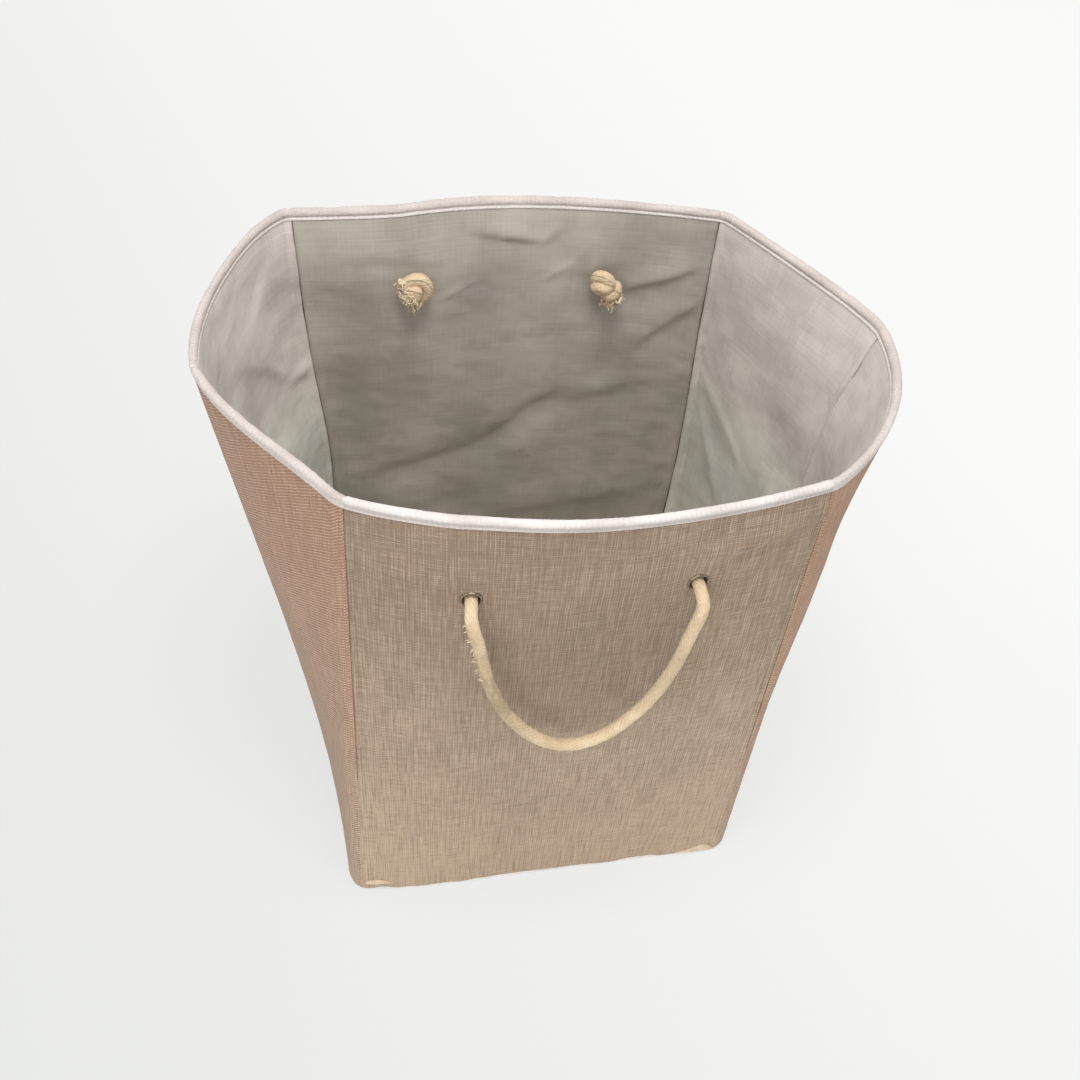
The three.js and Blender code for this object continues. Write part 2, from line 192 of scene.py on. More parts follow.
class Graph:
    """The shader nodes of a new material or world."""

    def __init__(self, name, store=bpy.data.materials):
        self.owner = store.new(name)
        self.owner.use_nodes = True
        self.tree = self.owner.node_tree
        self.tree.nodes.clear()

    def node(self, kind, settings=None, inputs=None, output=0):
        """Adds a node: its settings first, then the values or wires of its inputs, and returns one output. A colour
        of three numbers is a screen colour, one of four is linear."""
        node = self.tree.nodes.new(kind)
        for key, value in (settings or {}).items():
            setattr(node, key, value)
        for key, value in (inputs or {}).items():
            if isinstance(value, Wire):
                self.tree.links.new(value.socket, node.inputs[key])
            else:
                colour = node.inputs[key].type == "RGBA" and len(value) == 3
                node.inputs[key].default_value = srgb(*value) if colour else value
        return Wire(self, node.outputs[output]) if node.outputs else None

    def uv(self, across=1.0, along=1.0, turn=0.0):
        """The cloth's flat coordinates in metres, stretched and turned."""
        flat = self.node("ShaderNodeUVMap", {"uv_map": "flat"})
        inputs = {"Vector": flat, "Scale": (across, along, 1.0), "Rotation": (0.0, 0.0, turn)}
        return self.node("ShaderNodeMapping", None, inputs)

    def place(self, scale=1.0):
        """Object coordinates in metres, times a scale."""
        where = self.node("ShaderNodeTexCoord", None, None, "Object")
        return self.node("ShaderNodeVectorMath", {"operation": "SCALE"}, {0: where, "Scale": scale})

    def axes(self, vector):
        outputs = self.node("ShaderNodeSeparateXYZ", None, {0: vector}).socket.node.outputs
        return [Wire(self, output) for output in outputs]

    def noise(self, scales, detail, roughness):
        """Noise in the flat coordinates, with a scale across and one along, or in space, with a single scale."""
        vector = self.uv(*scales) if isinstance(scales, tuple) else self.place(scales)
        inputs = {"Vector": vector, "Scale": 1.0, "Detail": detail, "Roughness": roughness}
        return self.node("ShaderNodeTexNoise", {"noise_dimensions": "3D"}, inputs)

    def waves(self, pitch, turn, length=None):
        """The turned flat coordinates across and along, so that their sines have a pitch in metres."""
        scale = 2 * math.pi / pitch
        return self.axes(self.uv(scale, length or scale, turn))[:2]

    def mix(self, share, start, end):
        settings = {"data_type": "RGBA", "blend_type": "MIX", "clamp_factor": True}
        return self.node("ShaderNodeMix", settings, {0: share, 6: start, 7: end}, 2)

    def bump(self, height, distance):
        return self.node("ShaderNodeBump", None, {"Height": height, "Distance": distance, "Strength": 1.0})

    def finish(self, colour, roughness, normal=None, shine=0.5, sheen=(0.0, 0.5), metal=0.0):
        """The Principled shader; sheen is its weight and its roughness."""
        inputs = {"Base Color": colour, "Roughness": roughness, "Metallic": metal, "Specular IOR Level": shine}
        inputs.update({"Sheen Weight": sheen[0], "Sheen Roughness": sheen[1]})
        if normal:
            inputs["Normal"] = normal
        shader = self.node("ShaderNodeBsdfPrincipled", None, inputs)
        self.node("ShaderNodeOutputMaterial", None, {"Surface": shader})
        return self.owner


def weave(graph, pitch):
    """Height of a plain weave: product of two sines picks which thread is on top, and each thread is a round
    ridge, the size of the other sine."""
    across, along, _ = graph.axes(graph.uv(math.pi / pitch, math.pi / pitch))
    warp = across.sine()
    weft = along.sine()
    over = (warp * weft).between(-0.25, 0.25)
    return over * abs(warp) + (1 - over) * abs(weft)


def linen(name, light, dark, foot_light, foot_dark, slub, rib, painted_handle_shade):
    """Linen-look cloth: thin upright and level threads of unlike tone, from stretched noise, over a plain weave,
    with slanting ribs, painted a little paler towards its foot as bounce light from the floor, and darker round
    the middle of the handle's loop as painted shade."""
    graph = Graph(name)
    upright = graph.noise((640, 20), 3.0, 0.65)
    fine_upright = graph.noise((1300, 30), 2.0, 0.6)
    level = graph.noise((32, 640), 3.0, 0.65)
    fine_level = graph.noise((60, 1300), 2.0, 0.6)
    patches = graph.noise((9, 5), 3.0, 0.55)
    threads = weave(graph, LINEN_PITCH)
    _, height, _ = graph.axes(graph.uv())
    _, along = graph.waves(LINEN_RIB_PITCH, -0.66)
    ribs = along.sine() * rib
    streaks = 0.33 * upright + 0.22 * fine_upright + 0.26 * level + 0.19 * fine_level
    # Painted bounce light from the floor: the tone rises towards the foot.
    fade = 0.20 - height * 0.90
    tone = (streaks - 0.5) * 5.2 + (threads - 0.62) * 0.7 + (patches - 0.5) * 0.5 + ribs + fade + 0.5
    share = tone.between(-0.1, 1.1)
    colour = graph.mix(share, dark, light)
    # Both linens share the foot colours low down; above them each wall's own colours are painted shade and light,
    # darker on the front and lighter and warmer on the sides.
    colour = graph.mix(height.between(-0.02, 0.42), graph.mix(share, foot_dark, foot_light), colour)
    bright = fine_upright.between(0.60, 0.74) * 0.35
    colour = graph.mix(bright, colour, slub)
    # Painted shade round the handle's loop: the colour darkens towards (112, 98, 80) near x 0 and height 0.36, fading
    # out over about 0.17 m.
    sideways, _, up = graph.axes(graph.place())
    reach = (sideways * sideways + (up - 0.36) * (up - 0.36)) ** 0.5 + (patches - 0.5) * 0.06
    colour = graph.mix((1 - reach.between(0.0, 0.17)) * painted_handle_shade, colour, (112, 98, 80))
    normal = graph.bump(threads * 0.6 + streaks * 1.4 + ribs * 2.0, 0.0004)
    return graph.finish(colour, 0.92, normal, 0.22, (0.10, 0.6))


def lining_cloth(name, light, dark, low_light, low_dark):
    """Smooth lining: a fine plain weave with faint level ribs, a few specks, slow changes of tone, and another
    tone low down."""
    graph = Graph(name)
    threads = weave(graph, FINE_PITCH)
    level = graph.noise((14, 520), 2.0, 0.6)
    upright = graph.noise((700, 24), 2.0, 0.6)
    patches = graph.noise((10, 7), 4.0, 0.55)
    specks = graph.noise((420, 420), 0.0, 0.5).between(0.78, 0.84)
    tone = (level - 0.5) * 0.7 + (upright - 0.5) * 0.5 + (threads - 0.62) * 0.3 + (patches - 0.5) * 2.0
    clouds = graph.noise((17, 13), 2.0, 0.5)
    tone = tone + (clouds - 0.5) * 1.1 + 0.5
    share = tone.between(0.0, 1.0)
    _, height, _ = graph.axes(graph.uv())
    low = graph.mix(share, low_dark, low_light)
    colour = graph.mix(height.between(0.28, 0.46), low, graph.mix(share, dark, light))
    colour = graph.mix(specks * 0.25, colour, (206, 200, 192))
    normal = graph.bump(threads * 0.5 + level * 0.6 + upright * 0.4, 0.0002)
    roughness = (patches - 0.5) * 0.3 + 0.72
    return graph.finish(colour, roughness, normal, 0.35, (0.10, 0.5))


def binding_cloth(name, roll_dark, roll_light, tape_dark, tape_light):
    """Off-white cotton tape: a roll between tape edges of a slightly unlike tone, these tones being painted light and
    shade, with a slanting rib, fine creases and faint soiling. The roll lies between two distances round the section."""
    graph = Graph(name)
    across, _ = graph.waves(TAPE_RIB_PITCH, 0.7, 1.0)
    _, around, _ = graph.axes(graph.uv())
    rib = across.sine()
    creases = graph.noise((190, 420), 3.0, 0.6)
    fibres = graph.noise((2600, 2600), 1.0, 0.5)
    patches = graph.noise((30, 60), 3.0, 0.5)
    tone = ((patches - 0.5) * 1.6 + (fibres - 0.5) * 0.5 + rib * 0.05 + 0.55).between(0.0, 1.0)
    rolled = graph.mix(tone, roll_dark, roll_light)
    taped = graph.mix(tone, tape_dark, tape_light)
    # The roll and the tape edges take separate tones, set in each copy as painted light and shade.
    on_roll = around.between(*ROLL_STARTS) * (1 - around.between(*ROLL_ENDS))
    colour = graph.mix(on_roll, taped, rolled)
    soiled = (creases - 0.5).between(0.06, 0.22) * 0.35
    colour = graph.mix(soiled, colour, (196, 178, 168))
    normal = graph.bump(rib * 0.25 + creases * 1.3 + fibres * 0.25, 0.0006)
    return graph.finish(colour, 0.88, normal, 0.25, (0.10, 0.5))


def base_cloth(name, light, dark):
    """Pale base cloth: fine plain weave, slightly rubbed."""
    graph = Graph(name)
    threads = weave(graph, FINE_PITCH)
    rubbed = graph.noise((45, 45), 4.0, 0.6)
    colour = graph.mix(rubbed.between(0.42, 0.62), light, dark)
    return graph.finish(colour, 0.9, graph.bump(threads, 0.0002), 0.25)


def board_card(name):
    """Flexible stiffening board: fine mottling and shallow pressed fibres."""
    graph = Graph(name)
    fibres = graph.noise(900, 3.0, 0.6)
    mottle = graph.noise(60, 3.0, 0.5)
    colour = graph.mix(mottle.between(0.35, 0.65), (176, 158, 130), (196, 180, 152))
    return graph.finish(colour, 0.8, graph.bump(fibres, 0.0002), 0.3)


def cotton_rope(name):
    """Cream cotton rope: slanting yarns two ways round, yellower patches, loose fibre, and tan wear on the left
    and, less, on the right limb of the front handle."""
    graph = Graph(name)
    around, along, _ = graph.axes(graph.uv())
    across, _ = graph.waves(YARN_PITCHES[0], 0.62)
    back_across, _ = graph.waves(YARN_PITCHES[1], -0.85)
    yarn = across.sine() * 0.6 + back_across.sine() * 0.25
    fibres = graph.noise((2400, 700), 3.0, 0.65)
    patches = graph.noise((60, 32), 3.0, 0.55)
    tone = ((patches - 0.5) * 1.8 + yarn * 0.10 + (fibres - 0.5) * 0.9 + 0.5).between(0.0, 1.0)
    colour = graph.mix(tone, (212, 184, 146), (243, 220, 186))
    left = along.between(FRONT_ROPE_START + 0.24, FRONT_ROPE_START + 0.31)
    left = left * (1 - along.between(FRONT_ROPE_START + 0.375, FRONT_ROPE_START + 0.395))
    right = along.between(FRONT_ROPE_START + 0.03, FRONT_ROPE_START + 0.07)
    right = right * (1 - along.between(FRONT_ROPE_START + 0.10, FRONT_ROPE_START + 0.15))
    worn = (left * 0.9 + right * 0.35) * patches.between(0.38, 0.56)
    colour = graph.mix(worn, colour, (178, 158, 126))
    # Paler frayed yarns: partly loose cotton's own tone, partly painted light against their shade.
    colour = graph.mix(around.between(FRAYED - 0.1, FRAYED - 0.05) * 0.75, colour, (252, 232, 198))
    normal = graph.bump(yarn * 0.55 + fibres * 0.9, 0.0007)
    return graph.finish(colour, 0.95, normal, 0.2, (0.2, 0.5))


def dark_nickel(name):
    """Darkened nickel: fine scratches, duller where it is rubbed."""
    graph = Graph(name)
    scratches = graph.noise(1600, 3.0, 0.6)
    tarnish = graph.noise(240, 3.0, 0.6)
    colour = graph.mix(tarnish.between(0.38, 0.62), (168, 154, 134), (112, 100, 86))
    roughness = (scratches - 0.5) * 0.3 + 0.42
    return graph.finish(colour, roughness, graph.bump(scratches, 0.00008), metal=0.7)


def sewing_thread(name):
    """Pale polyester thread: a tight twist."""
    graph = Graph(name)
    twist = graph.noise(4200, 1.0, 0.5)
    colour = graph.mix(twist, (206, 196, 188), (236, 230, 224))
    return graph.finish(colour, 0.6, None, 0.4)


def seam_thread(name, light, dark):
    """Thread sunk in the corner seams, coloured dark as painted shade in the seam's groove: a tight twist, blotchy in
    places.
    """
    graph = Graph(name)
    twist = graph.noise(3000, 1.0, 0.5)
    tone_blotches = graph.noise(70, 3.0, 0.5)
    colour = graph.mix(twist * 0.5 + tone_blotches * 0.5, dark, light)
    return graph.finish(colour, 0.9, graph.bump(twist, 0.0001), 0.15)


FOOT_COLOURS = (200, 177, 153), (146, 124, 103)
# The last value of each linen is the strength of its painted shade round the handle's loop; the sides have none.
LINEN = linen("linen_beige", (195, 173, 151), (141, 121, 102), *FOOT_COLOURS, (216, 196, 172), 0.0, 0.30)
# The sides' linen is a lighter, warmer copy of the front's: painted light for the light falling on the sides.
LINEN_SIDE_PAINTED_LIT = linen("linen_beige_side", (218, 181, 156), (165, 130, 107), *FOOT_COLOURS, (226, 195, 169), 0.45, 0.0)
# Shaded and lit copies of one grey lining: painted darker for the long walls and the floor, painted lighter for the
# sides.
LINING = lining_cloth("lining_grey", (191, 183, 173), (164, 157, 147), (191, 184, 173), (164, 158, 147))
LINING_SIDE_PAINTED_LIT = lining_cloth("lining_grey_side", (230, 220, 213), (199, 189, 182), (230, 227, 216), (201, 198, 188))
# Painted shade and light: the back's and the sides' binding has a darker, pinkish roll as painted shade, the front's a
# lighter roll as painted light over a darker tape.
BINDING = binding_cloth("binding_pinkish", (196, 184, 177), (217, 207, 201), (214, 206, 200), (231, 225, 220))
BINDING_FRONT_PAINTED_LIT = binding_cloth("binding_white", (211, 203, 198), (232, 226, 222), (200, 191, 185), (219, 211, 206))
BASE_CLOTH = base_cloth("base_cream", (240, 219, 197), (222, 199, 174))
# A brighter copy of the base cloth, painted light, for the front's hem.
HEM_PAINTED_LIT = base_cloth("hem_white", (255, 252, 248), (246, 240, 232))
BOARD = board_card("stiffening_board")
ROPE = cotton_rope("rope_cotton")
NICKEL = dark_nickel("eyelet_dark_nickel")
THREAD = sewing_thread("thread_pale")
# The seams' threads are coloured dark as painted shade in their grooves.
LINING_SEAM_SHADE = seam_thread("seam_thread_grey", (104, 95, 87), (66, 58, 52))
CLOTH_SEAM_SHADE = seam_thread("seam_thread_brown", (146, 124, 104), (112, 93, 77))


# Meshes


def smooth_share(value, start, end):
    """0 up to start, 1 from end, and 3 s^2 - 2 s^3 of the share s between."""
    share = np.clip((value - start) / (end - start), 0.0, 1.0)
    return share * share * (3 - 2 * share)


def bell(distance, width):
    return np.exp(-((distance / width) ** 2))


def askew(points, lining):
    """The points, moved as the real hamper is askew: the corners by the height and the distance beyond the eyelets,
    less towards the creases; above the eyelets the long walls bend back; the sways and the waist are bells of the
    height, exp(-(d / w)^2). Nothing moves at the eyelets."""
    x, y, z = points[:, 0], points[:, 1], points[:, 2]
    rear = smooth_share(y, -0.10, 0.18)
    left_corner, right_corner = (np.clip((side - CORNERS_FROM) / CORNERS_REACH, 0.0, 1.0) ** 1.4 for side in (-x, x))
    left_crease, right_crease = (smooth_share(side, *CREASES_MOVE) for side in (-x, x))
    rising = z / HEIGHT
    top = np.clip((z - BEND_FROM) / BEND_REACH, 0.0, 1.0) ** 1.3
    halfway = bell(z - HALFWAY, 0.12)
    corner_back = ASKEW_FRONT_CORNER + (ASKEW_BACK_CORNER - ASKEW_FRONT_CORNER) * rear
    back = rising * (corner_back * left_corner - ASKEW_CREASE * left_crease)
    back = back + top * (FRONT_BEND * (1 - rear) * bell(x + 0.11, 0.07) + BACK_BEND * rear * bell(x + 0.06, 0.16))
    back = back - FOOT_BULGE * (1 - rear) * (1 - rising) ** 2 * bell(x + 0.12, 0.07)
    corner_left = ASKEW_LEFT * rear - ASKEW_RIGHT * (1 - rear)
    right = -rising * corner_left * left_corner * (1 - left_crease)
    right = right + lining * halfway * rear * LEFT_SWAY * left_corner * (1 - left_crease)
    right = right + halfway * rear * RIGHT_SWAY * right_corner * (1 - right_crease)
    right = right - RIGHT_WAIST * smooth_share(x, 0.200, 0.270) * bell(z - 0.440, 0.072)
    return points + np.stack([right, back, 0 * z], axis=1)


def add_object(name, data):
    """A new object in the scene."""
    thing = bpy.data.objects.new(name, data)
    bpy.context.scene.collection.objects.link(thing)
    return thing


def new_piece(name, points, faces, material, body, slot, flat=None, sharp=50.0, node=None):
    """A mesh object from arrays of points and of faces, with flat coordinates for each point, that rides on a body
    and may replace a node."""
    mesh = bpy.data.meshes.new(name)
    placed = askew(np.asarray(points).reshape(-1, 3), slot == "lining")
    mesh.from_pydata(placed, [], faces if isinstance(faces, list) else faces.tolist())
    if flat is not None:
        corner = np.empty(len(mesh.loops), dtype=np.int32)
        mesh.loops.foreach_get("vertex_index", corner)
        layer = mesh.uv_layers.new(name="flat")
        layer.uv.foreach_set("vector", np.asarray(flat, dtype=np.float32).reshape(-1, 2)[corner].ravel())
    mesh.polygons.foreach_set("use_smooth", np.ones(len(mesh.polygons), dtype=bool))
    mesh.set_sharp_from_angle(angle=math.radians(sharp))
    mesh.update()
    piece = add_object(name, mesh)
    mesh.materials.append(material)
    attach(piece, body)
    if node:
        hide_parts(node)
    return piece


def grid_faces(rows, columns, first=0, closed=False):
    """Four-sided faces of a grid of points numbered row by row, joined round where it is closed."""
    row, column = np.mgrid[0 : rows - 1, 0 : columns if closed else columns - 1]
    after = (column + 1) % columns
    a = row * columns + column
    b = row * columns + after
    return first + np.stack([a, b, b + columns, a + columns], axis=-1).reshape(-1, 4)


def shell_faces(rows, columns):
    """Faces of a closed thin shell: an outer grid, an inner grid turned round, and strips along four edges."""
    count = rows * columns
    outer = grid_faces(rows, columns)
    inner = grid_faces(rows, columns, count)[:, ::-1]
    column = np.arange(columns - 1)
    row = np.arange(rows - 1) * columns
    top = (rows - 1) * columns + column
    right = row + columns - 1
    strips = [
        np.stack([column, column + count, column + 1 + count, column + 1], axis=1),
        np.stack([top, top + 1, top + 1 + count, top + count], axis=1),
        np.stack([row, row + columns, row + columns + count, row + count], axis=1),
        np.stack([right, right + count, right + columns + count, right + columns], axis=1),
    ]
    return np.concatenate([outer, inner, *strips])


def shell(outer, inner, flat):
    """Points, faces and flat coordinates of a closed thin shell between two grids of points."""
    points = np.concatenate([outer.reshape(-1, 3), inner.reshape(-1, 3)])
    return points, shell_faces(*outer.shape[:2]), np.concatenate([flat.reshape(-1, 2)] * 2)


def rings_round(path, radius, sides, reference=None):
    """Points of a round tube, or of many: at each point of the path, the cosine and the sine of an angle times the
    radius, in the plane square to the path. The angle starts square to the reference, or else to x or y."""
    along = np.gradient(path, axis=-2)
    along /= np.linalg.norm(along, axis=-1, keepdims=True)
    if reference is None:
        reference = np.where(np.abs(along[..., :1]) < 0.8, np.array([1.0, 0, 0]), np.array([0, 1.0, 0]))
    side = np.cross(along, reference)
    side /= np.linalg.norm(side, axis=-1, keepdims=True)
    up = np.cross(side, along)
    angle = np.linspace(0, 2 * np.pi, sides, endpoint=False)[:, None]
    return path[..., None, :] + radius * (np.cos(angle) * side[..., None, :] + np.sin(angle) * up[..., None, :])


def tube_faces(rings, sides, count=1):
    """Faces of a number of tubes with flat ends: those of the rings of them all, then two ends for each."""
    first = (np.arange(count) * rings * sides)[:, None, None]
    block = grid_faces(rings, sides, closed=True)[:, ::-1]
    ends = np.stack([np.arange(sides), (rings - 1) * sides + np.arange(sides)[::-1]])
    return (block + first).reshape(-1, 4).tolist() + (ends + first).reshape(-1, sides).tolist()


def arc_length(path):
    steps = np.linalg.norm(np.diff(path, axis=0), axis=1)
    return np.concatenate([[0.0], np.cumsum(steps)])


def resampled(path, count):
    """Points at equal distances along a path of straight steps."""
    distance = arc_length(path)
    even = np.linspace(0, distance[-1], count)
    return np.stack([np.interp(even, distance, path[:, i]) for i in range(3)], axis=1)


def smooth_path(points, count):
    """Centripetal Catmull-Rom curve through points, as evenly spaced points: each stretch blends four points by
    the square roots of the distances between them."""
    points = np.vstack([2 * points[0] - points[1], points, 2 * points[-1] - points[-2]])
    pieces = []
    for four in zip(points, points[1:], points[2:], points[3:]):
        knots = np.cumsum([0.0] + [math.sqrt(np.linalg.norm(b - a)) for a, b in zip(four, four[1:])])
        t = np.linspace(knots[1], knots[2], 24, endpoint=False)[:, None]
        for first, span in ((0, 1), (0, 2), (1, 1)):
            blended = []
            for i, (low, high) in enumerate(zip(four, four[1:]), first):
                width = knots[i + span] - knots[i]
                blended.append((knots[i + span] - t) / width * low + (t - knots[i]) / width * high)
            four = blended
        pieces.append(four[0])
    return resampled(np.vstack([*pieces, points[-2]]), count)


def ripple(across, along, seed, longest, shortest, waves=14):
    """Soft random undulation between about -1 and 1: a mean of sine waves of many directions and lengths."""
    random = np.random.default_rng(seed)
    total = np.zeros_like(across)
    for _ in range(waves):
        length = shortest * (longest / shortest) ** random.random()
        turn = random.random() * 2 * math.pi
        phase = random.random() * 2 * math.pi
        weight = (length / longest) ** 0.5
        total += weight * np.sin(2 * np.pi / length * (math.cos(turn) * across + math.sin(turn) * along) + phase)
    return total / math.sqrt(waves) * 1.2


def folded(relief, across, along, rows):
    """The relief with ridges along lines between two points: each the height times a bell of the distance to the
    line, with its own width on each side, fading out towards both ends."""
    for row in rows:
        x, z, end_x, end_z, width, height, *under = (value / 1000 for value in row)
        length = math.hypot(end_x - x, end_z - z)
        way = (end_x - x) / length, (end_z - z) / length
        here = (across - x) * way[0] + (along - z) * way[1]
        off = (across - x) * -way[1] + (along - z) * way[0]
        reach = np.where(off > 0, width, under[0] if under else width)
        beyond = np.maximum(0, np.maximum(-here, here - length))
        fade = np.sin(np.pi * np.clip(here / length, 0.0, 1.0) * 0.9 + 0.05 * np.pi)
        relief = relief + height * np.exp(-((off / reach) ** 2) - (beyond / width) ** 2) * fade
    return relief


# The outline of the walls


def unit(vector):
    vector = np.asarray(vector, float)
    return vector / np.linalg.norm(vector)


def quadratic(ends, t):
    """Points (1 - t)^2 A + 2 t (1 - t) B + t^2 C of a curve and the direction outwards, square to it."""
    a, b, c = (np.asarray(p, float) for p in ends)
    t = t[:, None]
    point = (1 - t) ** 2 * a + 2 * t * (1 - t) * b + t**2 * c
    along = (1 - t) * (b - a) + t * (c - b)
    along /= np.linalg.norm(along, axis=1, keepdims=True)
    return point, np.stack([along[:, 1], -along[:, 0]], axis=1)


def outline(width, depth, bow, bulge, cut, shoulder):
    """The curves of the outline at one level, as the three points of each."""
    corner = np.array([width / 2, -depth / 2])
    crease = np.array([width / 2 + bulge, 0.0])
    bend = np.array([crease[0], -shoulder])
    slope = 2 * bow / (width / 2 + cut)
    front_end = corner + cut * unit([-1, -slope])
    side_start = corner + cut * unit(bend - corner)
    left = np.array([-1, 1])
    return {
        "left_corner": (side_start * left, corner * left, front_end * left),
        "front": (front_end * left, (0.0, front_end[1] - slope * front_end[0]), front_end),
        "right_corner": (front_end, corner, side_start),
        "side": (side_start, bend, crease),
    }


def joined_run(stretches):
    """Points and outward directions along stretches of the outline, each a curve and its shares."""
    runs = []
    for curve, shares in stretches:
        runs.append(quadratic(curve, np.asarray(shares) if not runs else np.asarray(shares)[1:]))
    return np.concatenate([p for p, _ in runs]), np.concatenate([n for _, n in runs])


def crowded(start, edge, middle, end, edge_steps, steps):
    """Shares along a curve, closer together near its ends: edge_steps in each outer part."""
    low = np.linspace(start, edge, edge_steps, endpoint=False)
    high = np.linspace(middle, end, edge_steps + 1)
    return np.concatenate([low, np.linspace(edge, middle, steps, endpoint=False), high])


class Wall:
    """A wall as the straight-ruled surface between a line of points at the base and one at the rim."""

    def __init__(self, name, detail=1.0):
        self.name = name
        self.long = name in ("front", "back")
        self.body = "front_wall" if name == "front" else "back_wall"
        seam = CORNER_SEAM_SHARE
        lines = []
        for sizes in (BASE_SIZES, RIM_SIZES):
            full = outline(shoulder=FULL_SHOULDER, **sizes)
            flat = outline(shoulder=FLAT_SHOULDER, **sizes)
            if self.long:
                stretches = [
                    (flat["left_corner"], np.linspace(1 - seam, 1, 5)),
                    (full["front"], crowded(0, 0.035, 0.965, 1, int(18 * detail), int(120 * detail))),
                    (full["right_corner"], np.linspace(0, seam, 5)),
                ]
            else:
                level = flat if name in ("right_back", "left_front") else full
                stretches = [
                    (level["right_corner"], np.linspace(seam, 1, 13)),
                    (level["side"], crowded(0, 0.06, 0.97, 1, int(10 * detail), int(76 * detail))),
                ]
            point, outwards = joined_run(stretches)
            if name in ("right_back", "left_front"):
                point, outwards = point[::-1] * [1, -1], outwards[::-1] * [1, -1]
            if name in ("back", "left_back", "left_front"):
                point, outwards = -point, -outwards
            lines += [point, outwards]
        self.lines = lines
        self.base, _, self.rim, _ = lines
        self.across = arc_length((self.base + self.rim) / 2)
        self.width = self.across[-1]

    def surface(self, z, offset, across=None):
        """Points at heights z and at offsets outwards, arrays of one shape: (1 - s) base + s rim, with s the height
        over the rim's. They stand in the wall's columns, or at distances across it."""
        lines = self.lines
        if across is not None:
            columns = np.arange(len(self.across))
            index = np.interp(across, self.across, columns)
            lines = [np.stack([np.interp(index, columns, line[:, i]) for i in range(2)], axis=-1) for line in lines]
        base, base_out, rim, rim_out = lines
        share = (z / HEIGHT)[..., None]
        offset = offset[..., None]
        plan = (1 - share) * (base + offset * base_out) + share * (rim + offset * rim_out)
        return np.concatenate([plan, z[..., None]], axis=-1)

    def grid(self, rows, bottom, top):
        """Heights and distances across over the wall. The bottom is a number or a value for each column."""
        share = np.linspace(0, 1, rows)[:, None]
        z = (1 - share) * np.broadcast_to(bottom, self.across.shape) + share * top
        return z, np.broadcast_to(self.across, z.shape)

    def from_corner(self, across):
        """The distance from the corner seam of a side wall."""
        return across if self.name in ("right_front", "left_back") else self.width - across


def squash_side(piece):
    """Gives a side wall's piece a mesh of its own."""
    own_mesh(piece)


WALL_NAMES = ["front", "back", "left_front", "left_back", "right_front", "right_back"]
WALLS = {name: Wall(name) for name in WALL_NAMES}


# Camera: at the photograph's angle, from the front, above and a little to the left

camera_data = bpy.data.cameras.new("camera")
camera_data.sensor_width = 36.0
camera_data.lens = 53.33
camera_data.clip_start = 0.05
camera = add_object("camera", camera_data)
TURNS = [Matrix.Rotation(math.radians(degrees), 4, axis) for degrees, axis in CAMERA_TURNS]
camera.matrix_world = Matrix.Translation(CAMERA_PLACE) @ (TURNS[0] @ TURNS[1] @ TURNS[2])
bpy.context.scene.camera = camera


# Rope handles


def turned(points, back):
    """The points, turned half a turn about the upright axis for the back."""
    points = np.asarray(points, float)
    return points * np.array([-1.0, -1.0, 1.0]) if back else points


def eyelet_axes(right):
    """Origin and axes (sideways, upwards, outwards) at a front eyelet."""
    mirror = np.array([1.0 if right else -1.0, 1.0, 1.0])
    outwards = unit(np.array(EYELET_NORMAL) * mirror)
    sideways = unit(np.cross((0, 0, 1), outwards))
    upwards = np.cross(outwards, sideways)
    return np.array(EYELET_ORIGIN) * mirror, np.stack([sideways, upwards, outwards])


def rope_surface(path, radius, sides, reference, seed, start_round=False):
    """A rope: a tube round the path whose radius swells by slanting ridges, h cos(n a - 2 pi s / pitch), and by a
    little random unevenness. A round end is a half ball: the radius times sqrt(1 - (d / r)^2)."""
    beyond = radius * np.sin(np.linspace(0, np.pi / 2, 9)[1:])
    falling = np.sqrt(np.maximum(1 - (beyond / radius) ** 2, 0.0))
    start = path[0] + unit(path[0] - path[1]) * beyond[::-1, None]
    end = path[-1] + unit(path[-1] - path[-2]) * beyond[:, None]
    scale = np.concatenate([falling[::-1] if start_round else [], np.ones(len(path)), falling])
    path = np.vstack([start, path, end] if start_round else [path, end])
    scale = np.maximum(scale, 0.03)
    around = np.linspace(0, 2 * np.pi, sides, endpoint=False)[None, :]
    along = arc_length(path)[:, None]
    lay = LAY_HEIGHT * np.cos(LAY_RIDGES * around - 2 * np.pi * along / LAY_PITCH)
    uneven = 0.030 * ripple(np.cos(around) * radius + along, np.sin(around) * radius, seed, 0.03, 0.003, 24)
    swollen = radius * (1 + lay + uneven) * scale[:, None]
    points = rings_round(path, swollen[..., None], sides, reference)
    flat = np.stack(np.broadcast_arrays(around * radius, along + 0.37 * seed), axis=-1)
    return points.reshape(-1, 3), tube_faces(len(path), sides), flat.reshape(-1, 2)


def handle_path():
    right = np.array(HANDLE_ROUTE) / 1000
    left = (right[:-1] * np.array([-1.0, 1.0, 1.0]))[::-1]
    return smooth_path(np.vstack([right, left]), 230)


def rope_fuzz(path, radius, count, seed, longest=0.0035):
    """Loose fibres on a rope: roots spread at random over its surface, each fibre leaning out from it."""
    random = np.random.default_rng(seed)
    along = np.gradient(path, axis=0)
    index = random.integers(1, len(path) - 1, count)
    along = along[index] / np.linalg.norm(along[index], axis=1, keepdims=True)
    out = random.normal(0, 1, (count, 3))
    out -= (out * along).sum(axis=1, keepdims=True) * along
    out /= np.linalg.norm(out, axis=1, keepdims=True)
    roots = path[index] + out * radius * 0.93
    lean = out * 0.8 + along * random.normal(0, 1.0, (count, 1)) + random.normal(0, 0.3, (count, 3))
    lengths = longest * (0.35 + 0.65 * random.random(count))
    return strand_pieces(roots, lean, lengths, FUZZ_RADIUS, 0.3, seed + 1, 3, 4)


